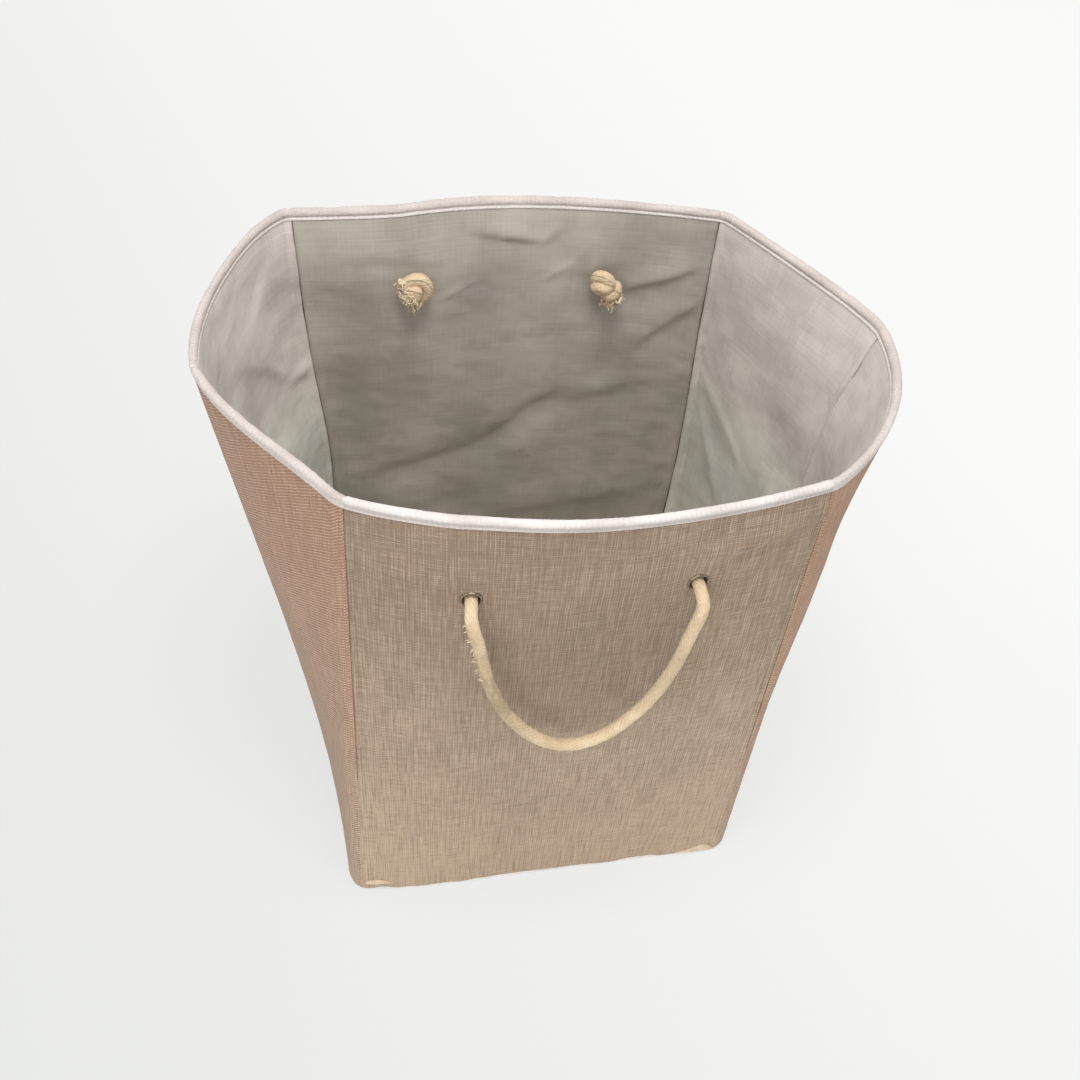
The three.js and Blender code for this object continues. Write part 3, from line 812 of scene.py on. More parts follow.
def frayed(strands):
    """The same strands with flat coordinates where the rope's material is paler: partly loose cotton's own tone, partly
    painted light against the shade the strands cast on one another.
    """
    points, faces, flat = strands
    return points, faces, flat + np.array([FRAYED, 0.0])


def add_handle(side):
    """The free loop of a handle, which swings at its eyelets, its loose fibres, and a few tufts of yarn that stand
    out below one eyelet."""
    back = side == "back"
    path = handle_path()
    rope = rope_surface(path, ROPE_RADIUS, 36, (0, 1, 0.02), 5 + back, start_round=True)
    fuzz = rope_fuzz(path, ROPE_RADIUS, 420, 61 + back)
    left_top = path[np.arange(-2, -40, -7)]
    random = np.random.default_rng(71 + back)
    roots = np.repeat(left_top, 5, axis=0) + random.normal(0, 0.0014, (len(left_top) * 5, 3))
    roots += np.array([-0.0042, -0.0022, 0.0])
    ways = np.array([-0.9, -0.4, 0.25]) + random.normal(0, 0.35, roots.shape)
    lengths = 0.0018 + 0.0022 * random.random(len(roots))
    tufts = frayed(strand_pieces(roots, ways, lengths, 0.00050, 0.2, 81, 5, 7, 0.4, 0.14))
    made = []
    for kind, node, (points, faces, flat) in (
        ("loop", side + "_handle_rope", rope),
        ("fibres", None, merged(fuzz, tufts)),
    ):
        name = f"{side}_handle_{kind}"
        made.append(new_piece(name, turned(points, back), faces, ROPE, side + "_handle", "rope", flat, 60, node))
    return made[0], turned(path, back)


def revolved(profile, origin, axes):
    """A ring: a closed profile of (radius, distance outwards) carried round an eyelet's axis."""
    profile = np.asarray(profile, float)
    angle = np.linspace(0, 2 * np.pi, EYELET_SIDES, endpoint=False)[:, None]
    spoke = np.cos(angle) * axes[0] + np.sin(angle) * axes[1]
    points = origin + profile[None, :, :1] * spoke[:, None] + profile[None, :, 1:] * axes[2]
    rows, columns = points.shape[:2]
    row, column = np.mgrid[0:rows, 0:columns]
    next_row, next_column = (row + 1) % rows * columns, (column + 1) % columns
    row = row * columns
    corners = [row + column, next_row + column, next_row + next_column, row + next_column]
    return points, np.stack(corners, axis=-1).reshape(-1, 4)


def add_eyelet(side, hand):
    """A rolled eyelet: a flange that curves down to the cloth, a barrel through the wall, and a washer behind."""
    back = side == "back"
    origin, axes = eyelet_axes((hand == "right") != back)
    if back:
        origin, axes = turned(origin, True), turned(axes, True)
    seat = CLOTH_OUTSIDE + 0.0003
    roll = np.linspace(0, np.pi, 12)
    middle = (EYELET_BORE + EYELET_EDGE) / 2
    half = (EYELET_EDGE - EYELET_BORE) / 2
    behind = LINING_INSIDE - 0.0014
    flange = np.stack([middle + half * np.cos(roll), seat + 0.0004 + 0.0013 * np.sin(roll)], axis=1)
    lip = EYELET_BORE + 0.0005
    barrel = [(EYELET_BORE, behind), (lip, behind), (lip, seat), (EYELET_EDGE, seat)]
    plate = LINING_INSIDE - 0.0004
    washer = [
        (EYELET_BORE + 0.0009, plate),
        (EYELET_BORE + 0.0009, plate - 0.0008),
        (EYELET_BORE + 0.0013, plate - 0.0010),
        (EYELET_EDGE - 0.0006, plate - 0.0010),
        (EYELET_EDGE, plate - 0.0006),
        (EYELET_EDGE, plate),
    ]
    for kind, profile, sharp in (("eyelet", np.vstack([flange, barrel]), 40), ("washer", washer, 30)):
        name = f"{side}_{hand}_{kind}"
        points, faces = revolved(profile, origin, axes)
        new_piece(name + "_ring", points, faces, NICKEL, side + "_wall", "eyelet", None, sharp, name)


# Knots as seen from inside the hamper: right, up and towards the viewer, in millimetres from the eyelet's middle.
# The left one shows a round turn with its frayed end in front, the right one two slanting turns side by side.
LEFT_KNOT = [
    (0, 0, 0), (-4, 6, 4), (-10, 14, 8), (-10.5, 20, 11), (-5, 24, 12.5), (2, 23.5, 13), (7, 18, 13), (8, 11, 12.5),
    (5, 5, 11.5), (-2, 4, 10), (-7.5, 7.5, 11), (-8, 13.5, 15), (-4, 15, 17), (-4, 9, 17.5),
]
RIGHT_KNOT = [
    (0, 0, 0), (-4, 5, 4), (-9.5, 12, 8), (-8, 18, 12), (-2, 18.5, 15), (2.5, 13.5, 17), (-1, 8.5, 18.5), (-6.5, 9, 16),
    (-9.5, 5.5, 11), (-4, 1, 9), (4, 3.5, 10), (9, 7.5, 13), (8.5, 3, 17.5), (3.5, -0.5, 17.5), (5, -5, 14.5),
]
# Tufts at the knots' tails: root and direction in the same way, and how many yarns
LEFT_TUFTS = [
    ((-12, 20, 13), (-1.0, 0.25, 0.1), 16),
    ((-9, 13, 17), (-0.9, -0.3, 0.5), 20),
    ((-7, 9, 18), (-0.5, -0.7, 0.5), 26),
    ((-6, 4, 16), (-0.15, -1.0, 0.1), 34),
]
RIGHT_TUFTS = [
    ((3, -3, 15), (-0.2, -1.0, 0.2), 24),
    ((6, -4, 15), (0.5, -0.8, 0.2), 28),
    ((8, -1, 15), (1.0, -0.2, 0.1), 12),
]
TUFT_YARNS = ((0.00135, 0.0080, 0.26), (0.00065, 0.0095, 0.34))  # radius, greatest length and splay of two sorts


def strand_pieces(roots, directions, lengths, radius, droop, seed, sides, rings, thinning=0.75, wandering=0.09):
    """Loose yarns: each bends from its root along its direction and down by the square of the distance, with a
    little wander, and thins to its tip."""
    random = np.random.default_rng(seed)
    directions = directions / np.linalg.norm(directions, axis=1, keepdims=True)
    count = len(roots)
    share = np.linspace(0, 1, rings)
    length = lengths[:, None, None]
    wander = random.normal(0, 1, (count, 2, 3))
    bend = wander[:, :1] * np.sin(share * 3.1)[None, :, None] + wander[:, 1:] * np.sin(share * 5.3)[None, :, None]
    path = roots[:, None] + directions[:, None] * share[None, :, None] * length
    path = path + bend * length * wandering
    path[..., 2] -= droop * (share**2)[None, :] * length[..., 0]
    points = rings_round(path, radius * (1 - thinning * share**1.5)[:, None, None], sides)
    angle = np.linspace(0, 2 * np.pi, sides, endpoint=False)
    flat = np.stack(np.broadcast_arrays(angle * radius, share[None, :, None] * length), axis=-1)
    return points.reshape(-1, 3), tube_faces(rings, sides, count), flat.reshape(-1, 2)


def merged(*parts):
    """Several (points, faces, flat) sets as one."""
    points, faces, flats = [], [], []
    first = 0
    for part_points, part_faces, part_flat in parts:
        points.append(part_points)
        faces += [[i + first for i in face] for face in part_faces]
        flats.append(part_flat)
        first += len(part_points)
    return np.concatenate(points), faces, np.concatenate(flats)


def add_rope_end(side, hand):
    """The fixed end of a handle: the bend down to the loop, the rope through the eyelet, a knot behind the wall
    and its frayed tail."""
    back = side == "back"
    right = (hand == "right") != back
    seed = 20 + 2 * back + right
    origin, axes = eyelet_axes(right)
    down = np.array([0.0, 0.0, -1.0]) @ axes.T
    down = unit([down[0], down[1], 0.0])
    seat = down * ROPE_REST
    bend = np.linspace(0, ROPE_JOINT_ANGLE, 16)[:, None]
    out = np.array([0.0, 0.0, 1.0])
    arc = seat + out * (EYELET_MOUTH + ROPE_BEND_RADIUS * np.sin(bend)) + down * ROPE_BEND_RADIUS * (1 - np.cos(bend))
    through = np.linspace(-0.006, EYELET_MOUTH, 10, endpoint=False)[:, None] * out + seat
    stub = resampled(np.vstack([through, arc]), 44)
    flip = np.array([-1.0, 1.0, -1.0])

    def placed(points):
        return turned(origin + points @ axes, back)

    def as_seen(places):
        return np.array(places, float) / 1000 * flip - out * KNOT_DEPTH + seat

    turns, tufts = (LEFT_KNOT, LEFT_TUFTS) if hand == "left" else (RIGHT_KNOT, RIGHT_TUFTS)
    knot = placed(smooth_path(as_seen(turns), 190))
    inwards = (1, 0, 0.05) if back else (-1, 0, -0.05)
    parts = [
        rope_surface(placed(stub), STUB_RADIUS, 34, inwards, seed),
        rope_surface(knot, KNOT_RADIUS, 30, (0.31, 0.52, 0.8), seed + 1),
    ]
    random = np.random.default_rng(seed)
    for root, way, count in tufts:
        aim = unit(np.array(way) * flip)
        for thick, longest, splay in TUFT_YARNS:
            roots = as_seen(root) + random.normal(0, 0.0021, (count, 3))
            ways = aim + random.normal(0, splay, (count, 3))
            lengths = longest * (0.6 + 0.4 * random.random(count))
            aimed = turned(ways @ axes, back)
            strands = strand_pieces(placed(roots), aimed, lengths, thick, 0.15, seed + count, 6, 9, 0.35, 0.17)
            parts.append(frayed(strands))
    parts.append(rope_fuzz(knot, KNOT_RADIUS, 160, seed + 31, 0.0028))
    points, faces, flat = merged(*parts)
    name = f"{side}_{hand}_rope_"
    return new_piece(name + "knot", points, faces, ROPE, side + "_wall", "rope", flat, 60, name + "end")


for SIDE in ("front", "back"):
    for HAND in ("left", "right"):
        add_eyelet(SIDE, HAND)
    ENDS = [add_rope_end(SIDE, HAND) for HAND in ("left", "right")]
    LOOP, PATH = add_handle(SIDE)


# Stage: a pale floor that fades to white, painted brighter towards the back and the right as light falling across
# it and glowing for the camera, soft daylight and a large soft lamp from above and the left

STAGE_SIZE = 12.0
LAMP_AIM = (0.0, 0.0, 0.2)
LAMPS = [("top_lamp", (-0.10, -0.42, 2.3), 0.65, 23.0), ("front_lamp", (-1.0, -2.3, 0.9), 1.6, 14.0)]


def add_stage():
    graph = Graph("floor_pale")
    east, north, _ = graph.axes(graph.place())
    # Painted light across the floor: its colour brightens towards the back and the right.
    bright = (east * 0.55 + north * 0.34).between(-0.95, 0.95)
    seen = graph.mix(bright, (224, 226, 225), (254, 254, 252))
    diffuse = graph.node("ShaderNodeBsdfDiffuse", None, {"Color": seen})
    glow = graph.node("ShaderNodeEmission", None, {"Color": seen, "Strength": 1.0})
    camera_ray, glossy_ray = (
        graph.node("ShaderNodeLightPath", output=ray) for ray in ("Is Camera Ray", "Is Glossy Ray")
    )
    share = camera_ray.top(glossy_ray) * 0.80
    shader = graph.node("ShaderNodeMixShader", None, {0: share, 1: diffuse, 2: glow})
    graph.node("ShaderNodeOutputMaterial", None, {"Surface": shader})
    corners = [(x * STAGE_SIZE, y * STAGE_SIZE, 0) for x, y in ((-1, -1), (1, -1), (1, 1), (-1, 1))]
    mesh = bpy.data.meshes.new("floor")
    mesh.from_pydata(corners, [], [(0, 1, 2, 3)])
    floor = add_object("floor", mesh)
    mesh.materials.append(graph.owner)
    floor.location.z = -0.0004
    sky = Graph("daylight", bpy.data.worlds)
    daylight = sky.node("ShaderNodeBackground", None, {"Color": (1.0, 0.995, 0.985, 1.0), "Strength": 0.66})
    backdrop = sky.node("ShaderNodeBackground", None, {"Color": (246, 247, 246)})
    camera_ray = sky.node("ShaderNodeLightPath", output="Is Camera Ray")
    mixed = sky.node("ShaderNodeMixShader", None, {0: camera_ray, 1: daylight, 2: backdrop})
    sky.node("ShaderNodeOutputWorld", None, {"Surface": mixed})
    bpy.context.scene.world = sky.owner
    for name, place, size, power in LAMPS:
        lamp = bpy.data.lights.new(name, "AREA")
        lamp.size = size
        lamp.energy = power
        direction = Vector(place) - Vector(LAMP_AIM)
        turn = direction.to_track_quat("Z", "Y").to_matrix().to_4x4()
        add_object(name, lamp).matrix_world = Matrix.Translation(place) @ turn


add_stage()
bpy.context.scene.view_settings.view_transform = "Standard"


# Cloth walls


# Folds of the outer cloth in millimetres: where each starts and ends, its width above, its height, and its width
# below if it isn't the same. A place is x or the distance from the corner, and the height.
OUTER_FOLDS = {
    "front": [
        (90, 482, 197, 503, 18, 5.2, 6), (110, 462, 180, 474, 14, 2, 8),
        (-85, 446, 70, 458, 14, 1.2), (-190, 478, -104, 464, 18, 1.8, 8),
        (-60, 250, 60, 235, 30, -1.6), (50, 180, 150, 330, 30, 1.4),
        (-150, 60, -40, 40, 24, 1.6),
    ],
    "back": [
        (90, 462, 186, 496, 14, 2.4), (-95, 455, -186, 500, 12, 2.8),
        (-60, 230, 80, 250, 30, -1.6), (-120, 60, 20, 50, 24, 1.6),
    ],
}

# Folds of the lining, with the height inwards
LINING_FOLDS = {
    "back": [
        (-40, 510, 34, 498, 10, 3.8, 2.8), (26, 496, 46, 516, 2.8, 2.4, 8),
        (-170, 500, -50, 486, 20, 2.8, 10), (-74, 439, -30, 464, 3, 1.4),
        (30, 455, 66, 479, 3, 1.4), (104, 446, 186, 480, 14, 5.2, 5),
        (124, 383, 192, 447, 20, 4.6, 7), (-150, 400, -20, 360, 34, 3),
        (60, 322, 136, 340, 16, 3.6, 12), (-160, 216, -2, 262, 13, -5, 24),
        (-30, 250, 50, 312, 12, -4.6, 22), (20, 290, 70, 326, 10, -3, 18),
        (-20, 170, 150, 196, 22, 3.6), (-180, 130, -60, 160, 20, 3),
    ],
    "front": [
        (-150, 400, 50, 370, 24, 3.4), (20, 300, 160, 340, 22, 3.4),
        (-130, 220, 80, 200, 24, 3.6),
    ],
    "left_back": [
        (18, 512, 66, 452, 8, 3.6, 20), (130, 474, 6, 360, 9, 3.4, 30),
        (64, 420, 36, 368, 7, 2.8), (40, 368, 4, 374, 7, 2.8),
        (30, 290, 110, 330, 20, 3.4),
    ],
    "left_front": [
        (60, 470, 150, 430, 18, 2.6), (70, 350, 170, 380, 18, 3),
    ],
    "right_back": [
        (10, 360, 118, 292, 5, 2.2, 12), (10, 384, 66, 460, 6, 1.4, 14),
        (66, 406, 150, 418, 9, 1.4, 16), (20, 310, 100, 230, 12, 3.6),
        (130, 330, 200, 260, 16, 3.4),
    ],
    "right_front": [
        (50, 450, 140, 400, 16, 2.6), (60, 300, 150, 330, 18, 3),
    ],
}


def settled(relief, wall, z, across, folds, calm):
    """The relief with its folds, but with nothing near the eyelets and little at the rim. Folds are placed at x on a
    long wall and at the distance from the corner seam on a side."""
    place = wall.from_corner(across)
    eyelets = np.zeros_like(z)
    if wall.long:
        place = wall.surface(z, np.zeros_like(z))[..., 0]
        for x in (-EYELET_X, EYELET_X):
            eyelets += bell(np.hypot(place - x, z - EYELET_Z), EYELET_CALM)
    relief = folded(relief, place, z, folds.get(wall.name, []))
    return np.maximum(relief, 0.0) * (1 - np.minimum(eyelets, 1.0)) * (1 - 0.9 * bell(WALL_TOP - z, calm))


def outer_relief(wall, z, across, seed):
    """How far the outer cloth stands off its board: soft ripples and folds, and along each corner seam a ridge of
    folded cloth between two grooves."""
    to_edge = np.minimum(across, wall.width - across)
    to_corner = to_edge if wall.long else wall.from_corner(across)
    depth = 1.0 if wall.long else 0.4
    relief = 0.0010 + 0.0006 * depth * (1 - 0.75 * bell(to_edge, 0.045)) * ripple(across, z, seed, 0.17, 0.035)
    relief = relief + 0.00025 * depth * ripple(across, z, seed + 7, 0.035, 0.012)
    relief = settled(relief, wall, z, across, OUTER_FOLDS, 0.010)
    ridge = 0.0009 * bell(to_corner - 0.0026, 0.0015) - 0.0008 * bell(to_corner - 0.0058, 0.0011)
    sewn = smooth_share(z, *SEAM_FADES)
    return np.maximum(relief + sewn * (ridge - 0.0012 * bell(to_edge, 0.0008)), -0.0006)


def pierced(points, faces, rows, columns, back):
    """Opens the eyelet holes in a shell of two grids: faces with a point inside a hole are left out, the points
    round the gap move onto its circle within the wall's plane, and a strip joins the two grids there."""
    count = rows * columns
    turn = -1.0 if back else 1.0
    open_faces = np.zeros(len(faces), dtype=bool)
    strips = []
    outer = faces[: (rows - 1) * (columns - 1)]
    for side in (-1.0, 1.0):
        away = points[:count][:, [0, 2]] - [side * EYELET_X * turn, EYELET_Z]
        distance = np.hypot(away[:, 0], away[:, 1])
        inside = distance < HOLE_RADIUS
        cut = inside[faces % count].any(axis=1) & (np.arange(len(faces)) < 2 * len(outer))
        open_faces |= cut
        gap = outer[cut[: len(outer)]]
        brim = np.setdiff1d(np.unique(gap), np.flatnonzero(inside))
        shift = away[brim] * (HOLE_RADIUS / distance[brim] - 1)[:, None]
        normal = np.array(EYELET_NORMAL) * [side * turn, turn, 1.0]
        depth = -(shift[:, 0] * normal[0] + shift[:, 1] * normal[2]) / normal[1]
        step = np.stack([shift[:, 0], depth, shift[:, 1]], axis=1)
        points[brim] += step
        points[brim + count] += step
        edges = np.concatenate([gap[:, [i, (i + 1) % 4]] for i in range(4)])
        key = edges[:, 0] * count + edges[:, 1]
        free = edges[~np.isin(key, edges[:, 1] * count + edges[:, 0])]
        strips.append(np.stack([free[:, 0], free[:, 1], free[:, 1] + count, free[:, 0] + count], axis=1))
    kept = np.concatenate([faces[~open_faces], *strips])
    used = np.unique(kept)
    renumber = np.zeros(2 * count, dtype=int)
    renumber[used] = np.arange(len(used))
    return points[used], renumber[kept], used


def add_sheet(kind, wall, outer, inner, flat, material, slot, node):
    """A thin closed sheet of a wall between two grids of points, with eyelet holes in a long wall."""
    points, faces, flats = shell(outer, inner, flat)
    if wall.long:
        points, faces, used = pierced(points, faces, outer.shape[0], outer.shape[1], wall.name == "back")
        flats = flats[used]
    name = f"{wall.name}_{kind}"
    return new_piece(name, points, faces, material, wall.body, slot, flats, node=f"{wall.name}_{node}")


def add_outer(wall, seed):
    """The outer cloth of a wall, turned in a little at its foot. The foot rises slightly in the middle of a long
    wall and beside its corners, where the pale base shows under it."""
    lift = 0.0008 + 0.0004 * (1 + ripple(wall.across, wall.across * 0, seed + 50, 0.12, 0.03))
    if wall.long:
        x = wall.base[:, 0] * (1 if wall.name == "front" else -1)
        lift = lift + 0.0034 * bell(x - FOOT_GAP_X, 0.075)
    z, across = wall.grid(CLOTH_ROWS, np.maximum(lift, 0.0006), WALL_TOP)
    tuck = -0.0022 * bell(z, 0.0045)
    if wall.name == "front":
        tuck = tuck * (1 - 0.95 * bell(wall.base[:, 0] - FOOT_GAP_X, 0.100))
    relief = outer_relief(wall, z, across, seed) + tuck
    outer, inner = wall.surface(z, CLOTH_OUTSIDE + relief), wall.surface(z, CLOTH_INSIDE + relief)
    flat = np.stack([across + 0.7 * seed, z], axis=-1)
    # The sides take the copy of the linen painted lighter and warmer.
    material = LINEN if wall.long else LINEN_SIDE_PAINTED_LIT
    return add_sheet("cloth", wall, outer, inner, flat, material, "outer_cloth", "outer_cloth")


def lining_relief(wall, z, across, seed):
    """How far the lining stands off its board, inwards: ripples and folds, and a groove in each corner seam."""
    to_edge = np.minimum(across, wall.width - across)
    slack = bell(z - 0.25, 0.13) * (1 - bell(to_edge, 0.05))
    relief = 0.0012 + 0.0045 * slack + 0.0009 * ripple(across, z, seed, 0.15, 0.03)
    relief = relief + 0.0003 * ripple(across, z, seed + 7, 0.04, 0.010)
    relief = relief + 0.0012 * bell(to_edge - 0.004, 0.004)
    relief = settled(relief, wall, z, across, LINING_FOLDS, 0.008) * (1 - 0.95 * bell(z, 0.016))
    return np.maximum(relief - 0.0018 * bell(to_edge, 0.0010), -0.0004)


def add_lining(wall, seed):
    z, across = wall.grid(CLOTH_ROWS, 0.0006, WALL_TOP)
    relief = lining_relief(wall, z, across, seed)
    outer, inner = wall.surface(z, LINING_OUTSIDE - relief), wall.surface(z, LINING_INSIDE - relief)
    flat = np.stack([across + 0.7 * seed, z], axis=-1)
    # The long walls take the lining painted darker, the sides the one painted lighter.
    material = LINING if wall.long else LINING_SIDE_PAINTED_LIT
    return add_sheet("lining_cloth", wall, outer, inner, flat, material, "lining", "lining")


def add_seam(wall, at_start):
    """The thread sunk in a corner seam or side crease, inside and outside: a thin tube down the wall's edge, dark as
    painted shade in the seam's groove.
    """
    z = np.linspace(0.004, 0.5315, 60)
    across = np.full(60, 0.0 if at_start else wall.width)
    sunk = SEAM_SUNK * (1 - smooth_share(z, *SEAM_FADES))
    edge = "first" if at_start else "last"
    made = []
    for place, offset, material, slot in (
        ("lining", LINING_INSIDE + 0.0001 + 0 * z, LINING_SEAM_SHADE, "lining"),
        ("cloth", CLOTH_OUTSIDE - 0.0001 - sunk, CLOTH_SEAM_SHADE, "outer_cloth"),
    ):
        points, faces = thread_tubes(wall.surface(z, offset, across)[None], SEAM_THREAD_RADIUS)
        name = f"{wall.name}_{place}_{edge}_seam"
        made.append(new_piece(name, points, faces, material, wall.body, slot, None, 80))
    return made


def add_board(name):
    """The stiffening board between the cloths."""
    wall = Wall(name, detail=0.8)
    z, across = wall.grid(BOARD_ROWS, 0.0, WALL_TOP)
    face = np.full_like(z, BOARD_FACE)
    flat = np.dstack([across, z])
    return add_sheet("board", wall, wall.surface(z, face), wall.surface(z, -face), flat, BOARD, "board", "stiffener")


def binding_section():
    """The binding's section as (offset outwards, height): tape up the inside, round the roll, down the outside."""
    inside = LINING_INSIDE - TAPE_GAP
    outside = CLOTH_OUTSIDE + TAPE_GAP
    middle = (inside + outside) / 2
    axis = HEIGHT - ROLL_RADIUS
    angle = np.linspace(math.radians(226), math.radians(-46), ROLL_POINTS)
    roll = np.stack([middle + ROLL_RADIUS * np.cos(angle), axis + ROLL_RADIUS * np.sin(angle)], axis=1)
    edge = TAPE_THICKNESS
    up = [(0.6, -0.0001), (0.95, 0.0003), (1.0, 0.0009), (0.95, 0.0016), (0.6, 0.0021), (0.15, 0.0024)]
    return np.array(
        [
            (outside, TAPE_FOOT),
            (outside, WALL_TOP + 0.0002),
            (inside, WALL_TOP + 0.0002),
            (inside, TAPE_FOOT),
            *[(inside - edge * out, TAPE_FOOT + rise) for out, rise in up],
            *roll,
            *[(outside + edge * out, TAPE_FOOT + rise) for out, rise in up[::-1]],
        ]
    )


def add_binding(name, seed):
    """The rolled binding of a wall: its section carried along the rim, pinched at the corner seams and slightly
    uneven between them."""
    wall = Wall(name, detail=1.7)
    section = binding_section()
    rolled = slice(TAPE_POINTS, TAPE_POINTS + ROLL_POINTS)
    along = np.broadcast_to(wall.across[:, None], (len(wall.across), len(section)))
    offset, z, around = (np.broadcast_to(row, along.shape) for row in (*section.T, arc_length(section)))
    on_roll = np.zeros(len(section))
    on_roll[rolled] = np.sin(np.linspace(0, np.pi, ROLL_POINTS)) ** 0.5
    to_edge = np.minimum(along, wall.width - along)
    puckers = 0.00022 * ripple(along, around, seed, 0.018, 0.004, 22)
    puckers = puckers + 0.00030 * ripple(along, around * 0.15, seed + 9, 0.10, 0.03)
    crease_end = 0.0 if wall.long else 0.6
    pinch = 0.0008 * bell(to_edge, 0.0030) * (1 - crease_end * (along > wall.width / 2))
    swell = (puckers - pinch) * on_roll
    radial = np.stack([offset - offset[:, rolled].mean(), z - (HEIGHT - ROLL_RADIUS)], axis=-1)
    radial /= np.linalg.norm(radial, axis=-1, keepdims=True)
    offset = offset + swell * radial[..., 0]
    z = z + np.minimum(swell, 0.0) * radial[..., 1]
    points = wall.surface(z.T, offset.T).transpose(1, 0, 2)
    flat = np.stack([along + seed, around], axis=-1)
    # The front takes the binding painted lighter on its roll, the back and the sides the one painted darker.
    cloth = BINDING_FRONT_PAINTED_LIT if name == "front" else BINDING
    faces, node = tube_faces(*z.shape), name + "_rim_binding"
    return new_piece(name + "_binding", points, faces, cloth, wall.body, "binding", flat, 70, node)


def add_stitches(wall, seed):
    """Stitches along the tape edge, outside and inside: short arched threads."""
    count = int(wall.width / STITCH_PITCH) - 1
    middle = (np.arange(count) + 0.5 + 0.2) * wall.width / (count + 0.4)
    share = np.linspace(-1, 1, 6)
    along = middle[:, None] + 0.0013 * share[None, :]
    random = np.random.default_rng(seed)
    z = TAPE_FOOT + 0.0009 + random.normal(0, 0.00008, (count, 1)) + share[None, :] * 0.0001
    arch = 0.00012 - 0.0003 * share[None, :] ** 4
    lifts = CLOTH_OUTSIDE + TAPE_GAP + TAPE_THICKNESS + arch, LINING_INSIDE - TAPE_GAP - TAPE_THICKNESS - arch
    paths = [wall.surface(z, np.broadcast_to(lift, along.shape), along) for lift in lifts]
    points, faces = thread_tubes(np.concatenate(paths), STITCH_RADIUS)
    return new_piece(f"{wall.name}_binding_stitches", points, faces, THREAD, wall.body, "binding", None, 80)


def thread_tubes(paths, radius, sides=4):
    """Thin tubes with pointed ends round many short paths."""
    count, rings = paths.shape[:2]
    taper = np.full(rings, radius)
    taper[[0, -1]] = radius * 0.1
    points = rings_round(paths, taper[:, None, None], sides, (0.0, 0.0, 1.0))
    return points.reshape(-1, 3), tube_faces(rings, sides, count)


# Floor: the base cloth below, the board, and the lining padded over it


def floor_grid(back):
    """A half of the floor as a grid: columns across, each from the crease at the middle to the inside of the
    lining's foot, whose depth is read off the walls' base line. The back half is the front one turned round."""
    bases = [WALLS[name].lines[:2] for name in ("left_front", "front", "right_front")]
    run = np.concatenate([base - out * FLOOR_INSET for base, out in bases])
    run = run[np.argsort(run[:, 0])]
    widest = min(-run[0, 0], run[-1, 0])
    inner = np.linspace(0, FLOOR_CROWDING_X, 70, endpoint=False)
    outer = widest - (widest - FLOOR_CROWDING_X) * (1 - np.linspace(0, 1, 26)) ** 1.6
    half = np.concatenate([inner, outer])
    half[-1] = widest - 1e-5
    x = np.concatenate([-half[:0:-1], half])
    depth = np.interp(x, run[:, 0], -run[:, 1])
    share = np.linspace(0, 1, 60)[:, None]
    y = -(FLOOR_GAP + share * (np.maximum(depth, 0.0008) - FLOOR_GAP))
    x = np.broadcast_to(x, y.shape)
    edge = np.minimum(np.minimum(-y, (depth[None, :] + y) * 0.9), (widest - np.abs(x)))
    return (-x, -y, edge) if back else (x, y, edge)


def add_floor_sheet(side, kind, bottom, thickness, crown, material, slot):
    """A sheet of the floor with an upper and a lower face; the upper one rises away from its edges."""
    back = side == "back"
    x, y, edge = floor_grid(back)
    edge = -np.maximum(edge, 0)
    rise = crown * (1 - np.exp(edge / 0.010))
    rise = rise + (0.25 * crown) * ripple(x, y, 400 + back, 0.12, 0.03) * (1 - np.exp(edge / 0.02))
    top = np.stack([x, y, bottom + thickness + np.maximum(rise, 0)], axis=-1)
    low = np.stack([x, y, np.full_like(x, bottom)], axis=-1)
    points, faces, flat = shell(top, low, np.stack([x, y], axis=-1))
    name = f"{side}_floor_"
    return new_piece(name + kind, points, faces[:, ::-1], material, "floor_" + side, slot, flat, node=name + slot)


for SIDE in ("front", "back"):
    add_floor_sheet(SIDE, "cloth_below", 0.0, 0.0008, 0.0, BASE_CLOTH, "base_cloth")
    PAD = add_floor_sheet(SIDE, "cloth_above", 0.0036, 0.0006, 0.0022, LINING, "lining")


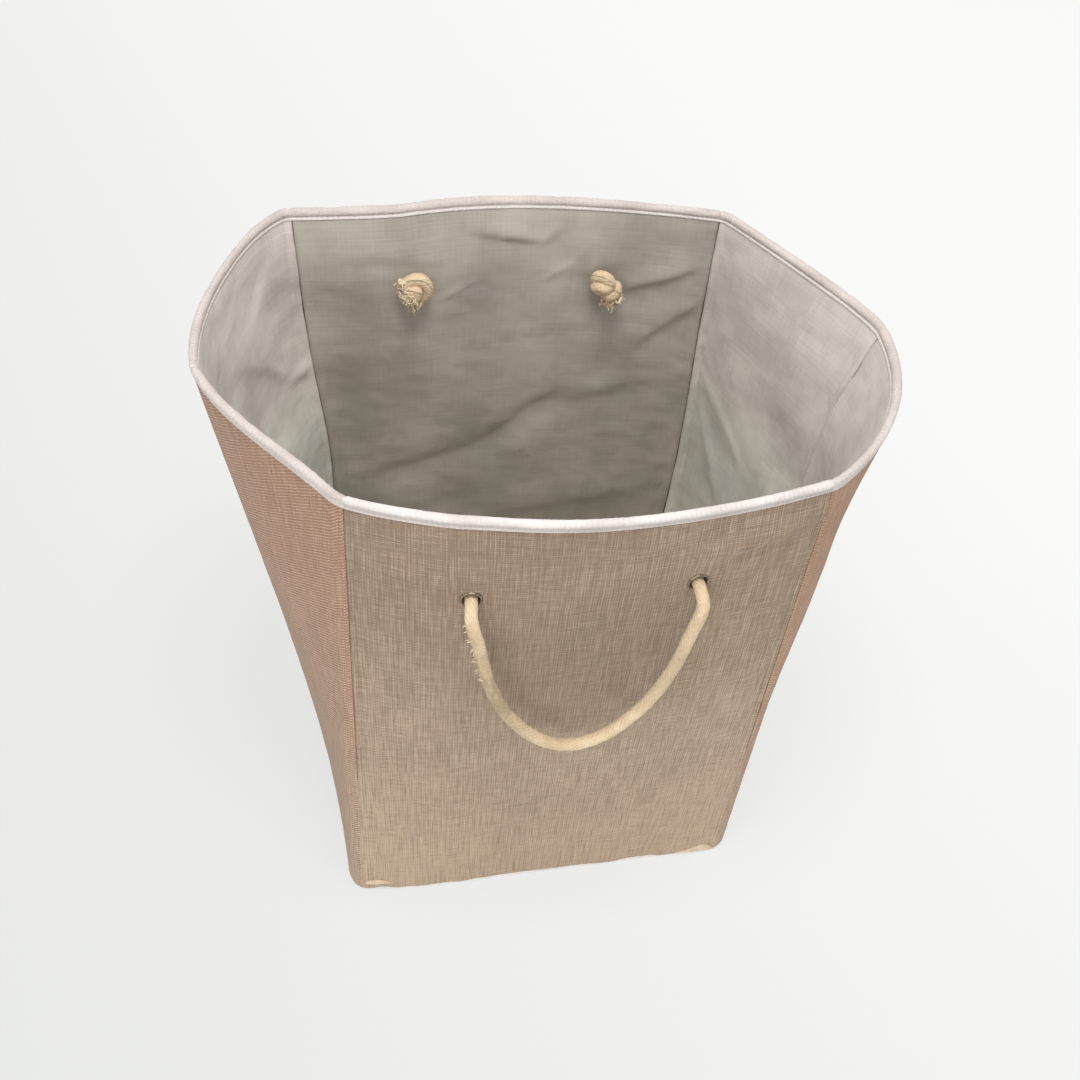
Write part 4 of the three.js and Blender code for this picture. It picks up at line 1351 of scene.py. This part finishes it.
def add_hem(wall):
    """The pale edge of the base, turned up under the foot of a wall's outer cloth; on the front a brighter copy of the
    base cloth, painted light where it shows under the foot.
    """
    z, across = wall.grid(13, 0.0002, 0.012)
    front = wall.name == "front"
    shown = 0.0022 * bell(wall.base[:, 0] - FOOT_GAP_X, 0.080) if front else 0.0
    outer = wall.surface(z, CLOTH_INSIDE - 0.00005 + shown * (z < 0.004))
    inner = wall.surface(z, BOARD_FACE + 0.00004 + 0 * z)
    points, faces, flat = shell(outer, inner, np.dstack([across, z]))
    cloth = HEM_PAINTED_LIT if front else BASE_CLOTH
    return new_piece(wall.name + "_hem", points, faces, cloth, wall.body, "base_cloth", flat)


def add_tab(name, start, end, low, high, skew):
    """A sliver of the pale base cloth that has worked out through the seam at a bottom corner: a lens that curls
    away from the wall, between two distances across and two heights, thickest where share^skew is a half."""
    wall = WALLS["front"]
    share = np.linspace(0, 1, 25)[None, :]
    up = np.linspace(0, 1, 9)[:, None]
    place = start + (end - start) * share + 0 * up
    body = np.sin(np.pi * share**skew) ** 0.7
    z = low + (high - low) * (up * body + (1 - body) * 0.2)
    curl = CLOTH_OUTSIDE + 0.0017 + 0.0012 * up * body + 0.0003 * np.sin(7 * share)
    outer, inner = (wall.surface(z, offset + 0 * place, place) for offset in (curl, CLOTH_INSIDE))
    points, faces, flat = shell(outer, inner, np.dstack([place, z]))
    return new_piece(name, points, faces, BASE_CLOTH, "front_wall", "base_cloth", flat)


SIDE_PIECES = []
for NUMBER, (NAME, WALL) in enumerate(WALLS.items()):
    MADE = [
        add_outer(WALL, 101 + NUMBER),
        add_lining(WALL, 201 + NUMBER),
        add_board(NAME),
        add_binding(NAME, 301 + NUMBER),
        add_stitches(WALL, 501 + NUMBER),
        add_hem(WALL),
        *add_seam(WALL, False),
    ]
    if NAME == "back":
        add_seam(WALL, True)
    if not WALL.long:
        SIDE_PIECES += [(piece, NAME.startswith("left")) for piece in MADE]

RIGHT_EDGE = WALLS["front"].width
add_tab("front_left_corner_tab", 0.001, 0.029, 0.0115, 0.0175, 0.6)
add_tab("front_right_corner_tab", RIGHT_EDGE - 0.042, RIGHT_EDGE - 0.0012, 0.0030, 0.0150, 2.2)

for PIECE, LEFT in SIDE_PIECES:
    squash_side(PIECE)
